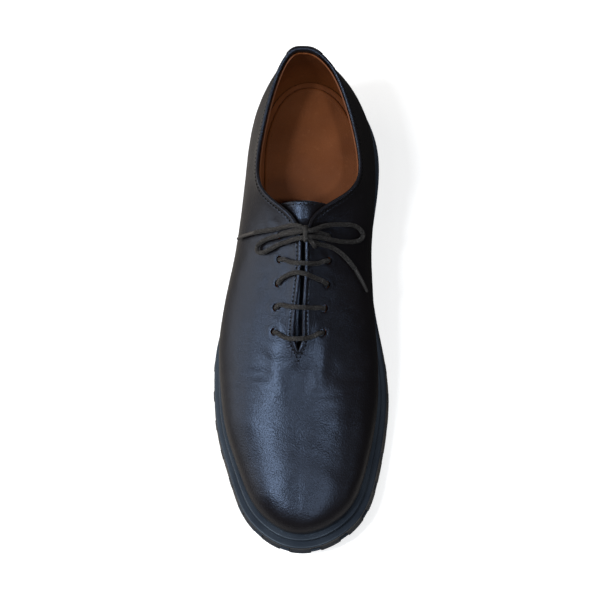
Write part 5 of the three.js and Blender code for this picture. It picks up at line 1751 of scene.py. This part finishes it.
class StitchTree:
    """The Geometry Nodes tree that sews stitches along lines."""

    def __init__(self) -> None:
        """Builds the tree."""
        bench, entry, leave = start_group(
            "stitches along a line",
            {"Geometry": "NodeSocketGeometry", "Pitch": "NodeSocketFloat", "Stitch length": "NodeSocketFloat",
             "Thread": "NodeSocketFloat", "Slant": "NodeSocketFloat", "Finish": "NodeSocketMaterial"},
            {"Geometry": "NodeSocketGeometry"}, "GeometryNodeTree")
        size = entry.outputs
        line = bench.add("GeometryNodeMeshToCurve", {"Mesh": size["Geometry"]})
        spots = bench.add("GeometryNodeCurveToPoints", {"Curve": line.outputs["Curve"], "Length": size["Pitch"]},
                          mode="LENGTH")
        bead = bench.add("GeometryNodeMeshUVSphere", {"Segments": 6, "Rings": 5, "Radius": 0.5})
        wobble = bench.add("FunctionNodeRandomValue", {"Min": (-0.12, -0.12, -0.12), "Max": (0.12, 0.12, 0.12),
                                                       "Seed": 7}, data_type="FLOAT_VECTOR")
        lie = bench.add("ShaderNodeVectorMath", {0: spots.outputs["Tangent"], 1: wobble.outputs["Value"]},
                        operation="ADD")
        sideways = bench.add("ShaderNodeVectorMath", {0: spots.outputs["Tangent"], 1: (0, 0, 1)},
                             operation="CROSS_PRODUCT")
        slanted = bench.add("ShaderNodeVectorMath", {0: sideways.outputs[0], "Scale": size["Slant"]},
                            operation="SCALE")
        lie = bench.add("ShaderNodeVectorMath", {0: lie.outputs[0], 1: slanted.outputs[0]}, operation="ADD")
        turned = bench.add("FunctionNodeAlignRotationToVector", {"Vector": lie.outputs[0]}, axis="Z")
        scale = bench.add("ShaderNodeCombineXYZ", {"X": size["Thread"], "Y": size["Thread"],
                                                   "Z": size["Stitch length"]})
        sewn = bench.add("GeometryNodeInstanceOnPoints", {
            "Points": spots.outputs["Points"], "Instance": bead.outputs["Mesh"],
            "Rotation": turned.outputs["Rotation"], "Scale": scale.outputs[0]})
        real = bench.add("GeometryNodeRealizeInstances", {"Geometry": sewn.outputs["Instances"]})
        smooth = bench.add("GeometryNodeSetShadeSmooth", {"Geometry": real.outputs["Geometry"]})
        done = bench.add("GeometryNodeSetMaterial", {"Geometry": smooth.outputs["Geometry"],
                                                     "Material": size["Finish"]})
        bench.tree.links.new(done.outputs["Geometry"], leave.inputs["Geometry"])
        self.tree = bench.tree

    def sew(self, name: str, paths: Sequence[np.ndarray], thread: bpy.types.Material, pitch: float, length: float,
            thick: float, slant: float = 0.0) -> bpy.types.Object:
        """Sews stitches along paths.

        Args:
            name: the piece's name.
            paths: the lines, in millimetres.
            thread: the thread's material.
            pitch: from one stitch to the next.
            length: a stitch's length.
            thick: the thread's thickness.
            slant: how far each stitch leans across the line, as a share of its length.

        Returns:
            The row of stitches.
        """
        return run_tree(line_object(name, paths), self.tree, {
            "Pitch": pitch * MM, "Stitch length": length * MM, "Thread": thick * MM, "Slant": slant,
            "Finish": thread})


class StarTree:
    """The Geometry Nodes tree that stands a star of rubber on each point."""

    def __init__(self) -> None:
        """Builds the tree."""
        bench, entry, leave = start_group(
            "stars on points",
            {"Geometry": "NodeSocketGeometry", "Across": "NodeSocketFloat", "Arm": "NodeSocketFloat",
             "Depth": "NodeSocketFloat", "Finish": "NodeSocketMaterial"},
            {"Geometry": "NodeSocketGeometry"}, "GeometryNodeTree")
        size = entry.outputs
        box = bench.add("ShaderNodeCombineXYZ", {"X": size["Across"], "Y": size["Arm"], "Z": size["Depth"]})
        arm = bench.add("GeometryNodeMeshCube", {"Size": box.outputs[0]})
        arms = []
        for angle in (math.pi / 4, -math.pi / 4):
            arms.append(bench.add("GeometryNodeTransform", {"Geometry": arm.outputs["Mesh"],
                                                            "Rotation": (0.0, 0.0, angle)}).outputs["Geometry"])
        cross = bench.add("GeometryNodeMeshBoolean", operation="UNION")
        for geometry in arms:
            bench.tree.links.new(geometry, cross.inputs["Mesh 2"])
        points = bench.add("GeometryNodeMeshToPoints", {"Mesh": size["Geometry"]})
        stood = bench.add("GeometryNodeInstanceOnPoints", {"Points": points.outputs["Points"],
                                                           "Instance": cross.outputs["Mesh"]})
        real = bench.add("GeometryNodeRealizeInstances", {"Geometry": stood.outputs["Instances"]})
        done = bench.add("GeometryNodeSetMaterial", {"Geometry": real.outputs["Geometry"],
                                                     "Material": size["Finish"]})
        bench.tree.links.new(done.outputs["Geometry"], leave.inputs["Geometry"])
        self.tree = bench.tree

    def stand(self, sole: Sole, rubber: bpy.types.Material) -> bpy.types.Object:
        """Stands the stars in the sole's well."""
        spots = line_object("tread_stars", [sole.star_places()])
        return run_tree(spots, self.tree, {"Across": sole.star_size * MM, "Arm": sole.star_arm * MM,
                                           "Depth": 2 * sole.lug_depth * MM, "Finish": rubber})


@dataclass(frozen=True)
class Bar:
    """One run of lace between the two holes of a pair, and how far it sags towards the toe on its way."""

    node: str
    pair: int
    sags: tuple[float, float, float, float, float]


@dataclass(frozen=True)
class BowCord:
    """One free run of the bow: its route in metres, what ends it and what goes with it."""

    node: str
    far_end: str
    tip: str
    route: tuple[tuple[float, float, float], ...]


BARS = (
    Bar("lace_bar_top", 0, (0, 0, 0, 0, 0)),
    Bar("lace_bar_1", 1, (1.4, 4.2, 5.5, 4.6, 2.2)),
    Bar("lace_bar_2", 2, (-2.8, -3.7, -3.3, -2.1, -1.4)),
    Bar("lace_bar_3", 3, (-0.8, 1.2, 2.1, 1.8, 0.6)),
    Bar("lace_bar_4", 4, (2.4, 4.9, 6.0, 4.5, 2.0)),
)

BOW = (
    BowCord("lace_loop_left", "knot", "", (
        (0.0017, 0.0252, 0.0935), (-0.003, 0.0253, 0.0909), (-0.008, 0.0259, 0.0864), (-0.013, 0.0259, 0.082),
        (-0.0178, 0.0265, 0.0758), (-0.0218, 0.0259, 0.0721), (-0.0246, 0.0242, 0.0696), (-0.0255, 0.0219, 0.0687),
        (-0.0243, 0.0198, 0.0693), (-0.0212, 0.0191, 0.0715), (-0.0165, 0.0204, 0.0749), (-0.0115, 0.0219, 0.079),
        (-0.006, 0.0223, 0.0834), (-0.0015, 0.0221, 0.0889), (0.0017, 0.0219, 0.0917))),
    BowCord("lace_loop_right", "knot", "", (
        (0.0078, 0.026, 0.0934), (0.0107, 0.0277, 0.091), (0.014, 0.0306, 0.0871), (0.018, 0.0332, 0.082),
        (0.0225, 0.0352, 0.0773), (0.027, 0.0366, 0.0733), (0.0315, 0.0376, 0.0692), (0.0355, 0.037, 0.0651),
        (0.0378, 0.0344, 0.0619), (0.037, 0.0314, 0.0623), (0.033, 0.0286, 0.0655), (0.028, 0.0268, 0.0701),
        (0.0225, 0.0257, 0.0753), (0.0177, 0.0249, 0.0808), (0.0125, 0.0244, 0.0855), (0.0078, 0.0229, 0.0918))),
    BowCord("lace_end_left", "fitting", "aglet_left", (
        (0.0017, 0.0287, 0.0928), (-0.003, 0.0299, 0.0908), (-0.008, 0.031, 0.0845), (-0.0135, 0.0312, 0.0797),
        (-0.019, 0.0316, 0.0754), (-0.024, 0.0322, 0.0714), (-0.0272, 0.0324, 0.0685))),
    BowCord("lace_end_right", "fitting", "aglet_right", (
        (0.0078, 0.021, 0.0884), (0.0115, 0.0212, 0.0836), (0.015, 0.0214, 0.0801), (0.0195, 0.0213, 0.0764),
        (0.024, 0.0198, 0.0725), (0.0285, 0.017, 0.0681), (0.0332, 0.0126, 0.0632))),
)

TIPS = {
    "aglet_left": ((-0.0272, 0.0324, 0.0685), (-0.0275, 0.0324, 0.0683), (-0.032, 0.0326, 0.0637),
                   (-0.0355, 0.0327, 0.0596), (-0.0383, 0.0328, 0.0551)),
    "aglet_right": ((0.0332, 0.0126, 0.0632), (0.0335, 0.0123, 0.0629), (0.036, 0.0087, 0.0598),
                    (0.0384, 0.0052, 0.0566), (0.0407, 0.0016, 0.0524)),
}


@dataclass
class Lacing:
    """The lace: its bars through the eyelets, the bow's knot, loops and ends, and its tips, in millimetres."""

    last: Last
    eyelets: EyeletRows
    diameter: float = 2.8
    tip_diameter: float = 2.2
    lift: float = 1.65
    dip: float = 2.7
    crowding: float = 0.7
    rim_bead: float = 0.3

    def lying(self, along: np.ndarray, across: np.ndarray, side: int) -> np.ndarray:
        """Height of the lace's middle where it lies on the upper."""
        turn, climb = self.last.climb_to(along, across, side)
        return (self.last.skin(turn, side, climb)[..., 2]
                + self.lift / self.last.normal(turn, side, climb)[..., 2])

    def bar_route(self, bar: Bar) -> np.ndarray:
        """The middle of a bar, down into its two eyelets."""
        inner, outer = self.eyelets.pair(bar.pair)
        share = np.array([-0.82, -0.62, -0.4, -0.2, 0.2, 0.4, 0.62, 0.82])
        over = outer.across + (inner.across - outer.across) * (share + 1) / 2
        knots = np.array([-1, -0.75, -0.4, 0, 0.4, 0.75, 1])
        sag = np.polyval(np.polyfit(knots, [0, *bar.sags, 0], 5), share)
        along = (inner.along + outer.along) / 2 + sag
        turns = np.linspace(self.last.throat_turn, self.last.slit_end_turn, 400)
        tops = self.last.rib_top(turns, 1)
        near = np.abs(tops[0][None] - along[:, None]) < self.eyelets.pitch / 2
        bridge = np.where(near, tops[2][None], 0).max(1) + self.rim_bead + self.lift
        height = np.where(share < 0, self.lying(along, over, -1), self.lying(along, over, 1))
        crest = np.append(height[np.abs(share) > 0.3], bridge.max())
        arch = np.polyval(np.polyfit(np.append(share[np.abs(share) > 0.3], 0), crest, 4), share)
        height = np.maximum(arch, height - 0.25)
        path = self.last.place(along, over, height)
        ends = []
        for hole in (outer, inner):
            inward = unit(path[len(path) // 2] - hole.point) * self.crowding
            ends.append([hole.point - hole.out * self.dip, hole.point + inward - hole.out * 0.9,
                         hole.point + inward + hole.out * 0.75])
        route = np.vstack([ends[0], path, ends[1][::-1]])
        return path_through(route, 0.55)

    def build_bar(self, bar: Bar) -> bpy.types.Object:
        """Builds one bar."""
        route = self.bar_route(bar)
        return tube(bar.node + "_run", route, self.diameter / 2, 16)

    def build_cord(self, cord: BowCord) -> tuple[bpy.types.Object, np.ndarray]:
        """Builds one run of the bow.

        Args:
            cord: the run.

        Returns:
            The tube and the points of its middle, in metres.
        """
        route = path_through(np.array(cord.route) / MM, 0.6)
        return tube(cord.node + "_run", route, self.diameter / 2, 16), route * MM

    def build_tip(self, node: str) -> bpy.types.Object:
        """Builds one stiff tip, pinched on to its lace."""
        route = path_through(np.array(TIPS[node]) / MM, 0.5)
        share = np.linspace(0, 1, len(route))
        radius = self.tip_diameter / 2 * (1.12 - 0.3 * share ** 1.5) - 0.06 * np.exp(-((share - 0.1) / 0.03) ** 2)
        return tube(node + "_tip", route, radius, 14)

    def build_knot(self) -> bpy.types.Object:
        """Builds the knot: the wrap that goes round the strands, and the strands inside it."""
        angle = np.linspace(0, 2 * math.pi, 49)
        middle = np.array([4.7, 24.2, 92.2])
        wrap = middle + np.stack([0.35 * np.sin(angle) + 0.5 * angle / math.pi - 0.5, 3.75 * np.cos(angle),
                                  2.25 * np.sin(angle) + 0.35], 1)
        strands = [
            [(1.7, 25.2, 93.5), (3.2, 25.5, 93.6), (6.2, 25.8, 93.6), (7.8, 26, 93.4)],
            [(1.7, 21.9, 91.7), (3.2, 22.1, 92.1), (6.2, 22.6, 92.3), (7.8, 22.9, 91.8)],
            [(1.7, 28.7, 92.8), (3.4, 27.0, 92.4), (5.4, 24, 91.2), (6.8, 22, 89.6), (7.8, 21, 88.4)],
            [(2.2, 22.5, 88.6), (4.6, 23.4, 89.8), (7.2, 21.6, 89.6), (9.2, 19.6, 88.2), (10, 18.6, 86.2)],
        ]
        pieces = [tube("wrap", even_steps(wrap, 0.6), self.diameter / 2, 16)]
        for number, strand in enumerate(strands):
            pieces.append(tube(f"strand {number}", path_through(np.array(strand, float), 0.6),
                               self.diameter / 2 * 0.98, 14))
        return join_tubes("lace_knot_wrap", pieces)


def join_tubes(name: str, pieces: Sequence[bpy.types.Object]) -> bpy.types.Object:
    """Joins tubes into one piece and keeps their UV."""
    body = bmesh.new()
    for piece in pieces:
        body.from_mesh(piece.data)
    mesh = bpy.data.meshes.new(name)
    body.to_mesh(mesh)
    body.free()
    mesh.shade_smooth()
    joined = bpy.data.objects.new(name, mesh)
    bpy.context.scene.collection.objects.link(joined)
    for piece in pieces:
        bpy.data.objects.remove(piece, do_unlink=True)
    return joined


@dataclass
class Studio:
    """The camera at the photo's angle, the pale floor and the soft lamps, in metres and degrees."""

    eye: tuple[float, float, float] = (0.0534, -0.2671, 0.98)
    down_tilt: float = 16.2
    roll: float = -0.9
    shoe_in_photo: tuple[float, float] = (-81 / 1600, -10 / 1600)
    lens: float = 96
    shoe: tuple[float, float, float] = (0.0, -0.02, 0.05)
    seen_floor: tuple[float, float, float] = (0.75, 0.75, 0.75)
    open_floor: tuple[float, float, float] = (0.36, 0.32, 0.28)
    # Painted shade of the missing pair, seen only in the shoe's reflections.
    shaded_floor: tuple[float, float, float] = (0.03, 0.028, 0.026)
    floor_glow: float = 0.55
    room_light: float = 0.06

    def set_camera(self) -> None:
        """Puts the camera at the photo's place and turns it to the shoe's middle."""
        tilt, roll = math.radians(self.down_tilt), math.radians(self.roll)
        right = Vector((math.cos(roll), -math.sin(roll), 0))
        ahead = Vector((math.sin(roll) * math.sin(tilt), math.cos(roll) * math.sin(tilt), -math.cos(tilt)))
        up = right.cross(ahead)
        aim = (ahead + right * self.shoe_in_photo[0] + up * self.shoe_in_photo[1]).normalized()
        turn = ahead.rotation_difference(aim)
        right, up = turn @ right, turn @ up
        data = bpy.data.cameras.new("camera")
        data.lens = self.lens
        data.sensor_width = 36
        data.clip_start, data.clip_end = 0.05, 30
        camera = bpy.data.objects.new("camera", data)
        place = turning(right, up, -aim)
        place.translation = Vector(self.eye)
        camera.matrix_world = place
        bpy.context.scene.collection.objects.link(camera)
        bpy.context.scene.camera = camera

    def lamp(self, name: str, azimuth: float, elevation: float, distance: float, size: tuple[float, float],
             power: float, colour: tuple[float, float, float]) -> None:
        """Hangs one soft rectangular lamp that faces the shoe.

        Args:
            name: the lamp's name.
            azimuth: its direction from the shoe, from +Y towards +X.
            elevation: its height above the floor's plane.
            distance: from the shoe.
            size: its width and height.
            power: in watts.
            colour: of its light.
        """
        data = bpy.data.lights.new(name, "AREA")
        data.shape = "RECTANGLE"
        data.size, data.size_y = size
        data.energy, data.color = power, colour
        lamp = bpy.data.objects.new(name, data)
        a, e = math.radians(azimuth), math.radians(elevation)
        way = Vector((math.sin(a) * math.cos(e), math.cos(a) * math.cos(e), math.sin(e)))
        lamp.location = Vector(self.shoe) + way * distance
        lamp.rotation_euler = way.to_track_quat("Z", "Y").to_euler()
        bpy.context.scene.collection.objects.link(lamp)

    def light(self) -> None:
        """Sets the lamps and the room's own light."""
        cool, warm = (0.92, 0.96, 1.0), (1.0, 0.92, 0.83)
        self.lamp("left wall", -80, 13, 1.5, (1.5, 1.0), 14, warm)
        self.lamp("left window", -118, 57, 1.4, (0.26, 0.26), 5, cool)
        self.lamp("left pane", -98, 50, 1.4, (0.18, 0.18), 4.2, cool)
        self.lamp("left low", -96, 30, 1.4, (0.18, 0.18), 1.6, cool)
        self.lamp("left core", -119, 66, 1.35, (0.1, 0.18), 6.2, cool)
        self.lamp("high pane", -140, 72, 1.35, (0.16, 0.16), 0.5, cool)
        self.lamp("right pane", 150, 56, 1.4, (0.16, 0.16), 2.6, cool)
        self.lamp("right core", 138, 68, 1.35, (0.08, 0.08), 4.2, cool)
        self.lamp("back fill", 20, 24, 1.7, (1.2, 0.9), 5, warm)
        self.lamp("right low", 105, 25, 1.4, (0.1, 0.1), 0.7, cool)
        world = bpy.data.worlds.new("room")
        world.use_nodes = True
        back = world.node_tree.nodes["Background"]
        back.inputs["Color"].default_value = (1.0, 0.985, 0.96, 1)
        seen = world.node_tree.nodes.new("ShaderNodeLightPath").outputs["Is Camera Ray"]
        glow = world.node_tree.nodes.new("ShaderNodeMath")
        glow.operation = "MULTIPLY_ADD"
        glow.inputs[1].default_value, glow.inputs[2].default_value = 0.9, self.room_light
        world.node_tree.links.new(seen, glow.inputs[0])
        world.node_tree.links.new(glow.outputs[0], back.inputs["Strength"])
        bpy.context.scene.world = world
        bpy.context.scene.view_settings.view_transform = "Standard"

    def lay_floor(self) -> None:
        """Lays the pale floor, which is white to the camera and, in the shoe's mirror, painted dark where its pair
        stood: painted shade of the missing pair.
        """
        mesh = bpy.data.meshes.new("floor")
        reach = 30.0
        mesh.from_pydata([(-reach, -reach, 0), (reach, -reach, 0), (reach, reach, 0), (-reach, reach, 0)], [],
                         [(0, 1, 2, 3)])
        floor = bpy.data.objects.new("floor", mesh)
        bpy.context.scene.collection.objects.link(floor)
        material, bench, shader = start_material("pale floor")
        seen = bench.add("ShaderNodeLightPath").outputs["Is Camera Ray"]
        place = bench.add("ShaderNodeSeparateXYZ", {0: bench.add("ShaderNodeTexCoord").outputs["Object"]})
        # Seen in the shoe's reflections, the floor on the pair's side is painted dark: painted shade and a dark
        # reflection of the missing pair.
        aside = bench.math("MULTIPLY_ADD", place.outputs["Y"], 0.5, place.outputs["X"])
        mirrored = bench.mix(bench.ramp(aside, (-0.03, 0.0), (0.05, 1.0)), self.open_floor, self.shaded_floor)
        bench.tree.links.new(bench.mix(seen, mirrored, self.seen_floor), shader.inputs["Base Color"])
        shader.inputs["Emission Color"].default_value = (1, 1, 1, 1)
        bench.tree.links.new(bench.math("MULTIPLY", seen, self.floor_glow), shader.inputs["Emission Strength"])
        shader.inputs["Roughness"].default_value = 0.9
        shader.inputs["Specular IOR Level"].default_value = 0.1
        mesh.materials.append(material)


def turning(right: Vector, up: Vector, back: Vector) -> Matrix:
    """A turning matrix from its three directions."""
    return Matrix((right, up, back)).transposed().to_4x4()


@dataclass
class Finishes:
    """Every material of the shoe."""

    effects: SharedEffects = field(default_factory=SharedEffects)

    def __post_init__(self) -> None:
        """Makes the materials."""
        self.leather = HideFinish("black calf", (0.0042, 0.0031, 0.0032), (0.0072, 0.0056, 0.0058),
                                  (0.014, 0.013, 0.014), 0.29, specular=0.36, tint=(0.5, 0.67, 1.0)).make(self.effects)
        self.lining = HideFinish("tan lining", (0.125, 0.035, 0.0085), (0.165, 0.049, 0.0125), (0.23, 0.08, 0.028), 0.5,
                                 pebbles=900, grain_depth=0.00004, patches=30, specular=0.22).make(self.effects)
        self.cut_edge = HideFinish("pale cut edge", (0.55, 0.34, 0.22), (0.65, 0.44, 0.3), (0.6, 0.42, 0.3), 0.75,
                                   pebbles=1600).make(self.effects)
        self.rubber = RubberFinish().make(self.effects)
        self.lace = LaceFinish().make(self.effects)
        self.tip = TipFinish().make()
        self.thread = ThreadFinish("black thread", (0.0012, 0.0012, 0.0014)).make()
        self.tan_thread = ThreadFinish("tan thread", (0.13, 0.045, 0.014)).make()


def place_piece(piece: bpy.types.Object, slot: str, node: str | None = None,
                *finishes: bpy.types.Material) -> bpy.types.Object:
    """Dresses a piece, fixes it to the shoe's body and reports it.

    Args:
        piece: the piece.
        slot: not used.
        node: the CAD node that it stands for, if any.
        finishes: its materials, one for each slot of its faces.

    Returns:
        The piece.
    """
    if finishes:
        piece.data.materials.clear()
        for finish in finishes:
            piece.data.materials.append(finish)
    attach(piece, "root")
    if node:
        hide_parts(node)
    LOG.info("%s: %d faces", piece.name, len(piece.data.polygons))
    return piece


def main() -> None:
    """Builds the shoe piece by piece, then the studio."""
    logging.basicConfig(level=logging.INFO, format="%(message)s")
    finishes = Finishes()
    last = Last()
    studio = Studio()
    studio.set_camera()
    eyelets = EyeletRows(last)

    lacing = Lacing(last, eyelets)
    knot = place_piece(lacing.build_knot(), "lace", "lace_knot", finishes.lace)
    for run in BOW:
        cord, route = lacing.build_cord(run)
        place_piece(cord, "lace", run.node, finishes.lace)
        if run.tip:
            place_piece(lacing.build_tip(run.tip), "aglet", run.tip, finishes.tip)
    for bar in BARS:
        place_piece(lacing.build_bar(bar), "lace", bar.node, finishes.lace)

    upper = Upper(last, eyelets)
    place_piece(upper.build(), "leather", "upper", finishes.leather)
    roll = RolledEdge(upper.wall)
    place_piece(roll.build(), "leather", None, finishes.leather)
    place_piece(roll.bar_tack(), "leather", None, finishes.leather)
    place_piece(Lining(last, eyelets).build(), "lining", None, finishes.lining, finishes.cut_edge)
    tongue = Tongue(last)
    place_piece(tongue.build(), "leather", "tongue", finishes.leather)
    place_piece(BackTab(last).build(), "leather", "back_tab", finishes.leather)

    bed = Footbed(last)
    place_piece(bed.build_board(), "lining", "insole", finishes.lining)
    place_piece(bed.build_sock(), "lining", "sock", finishes.lining)
    sole = Sole(last)
    place_piece(sole.build_midsole(), "rubber", "midsole", finishes.rubber)
    place_piece(sole.build_outsole(), "rubber", "outsole", finishes.rubber)
    place_piece(sole.build_heel(), "rubber", "heel", finishes.rubber)
    place_piece(StarTree().stand(sole, finishes.rubber), "rubber")

    stitches = StitchTree()
    place_piece(stitches.sew("rim_stitches", [upper.seam], finishes.thread, 2.45, 1.35, 1.0, 0.5),
                "leather")
    place_piece(stitches.sew("tongue_stitches", [tongue.stitches], finishes.thread, 2.3, 1.2, 0.8), "leather")
    place_piece(stitches.sew("sock_stitches", [bed.seam()], finishes.tan_thread, 2.6, 1.8, 0.4), "lining")

    studio.light()
    studio.lay_floor()


if __name__ == "__main__":
    main()
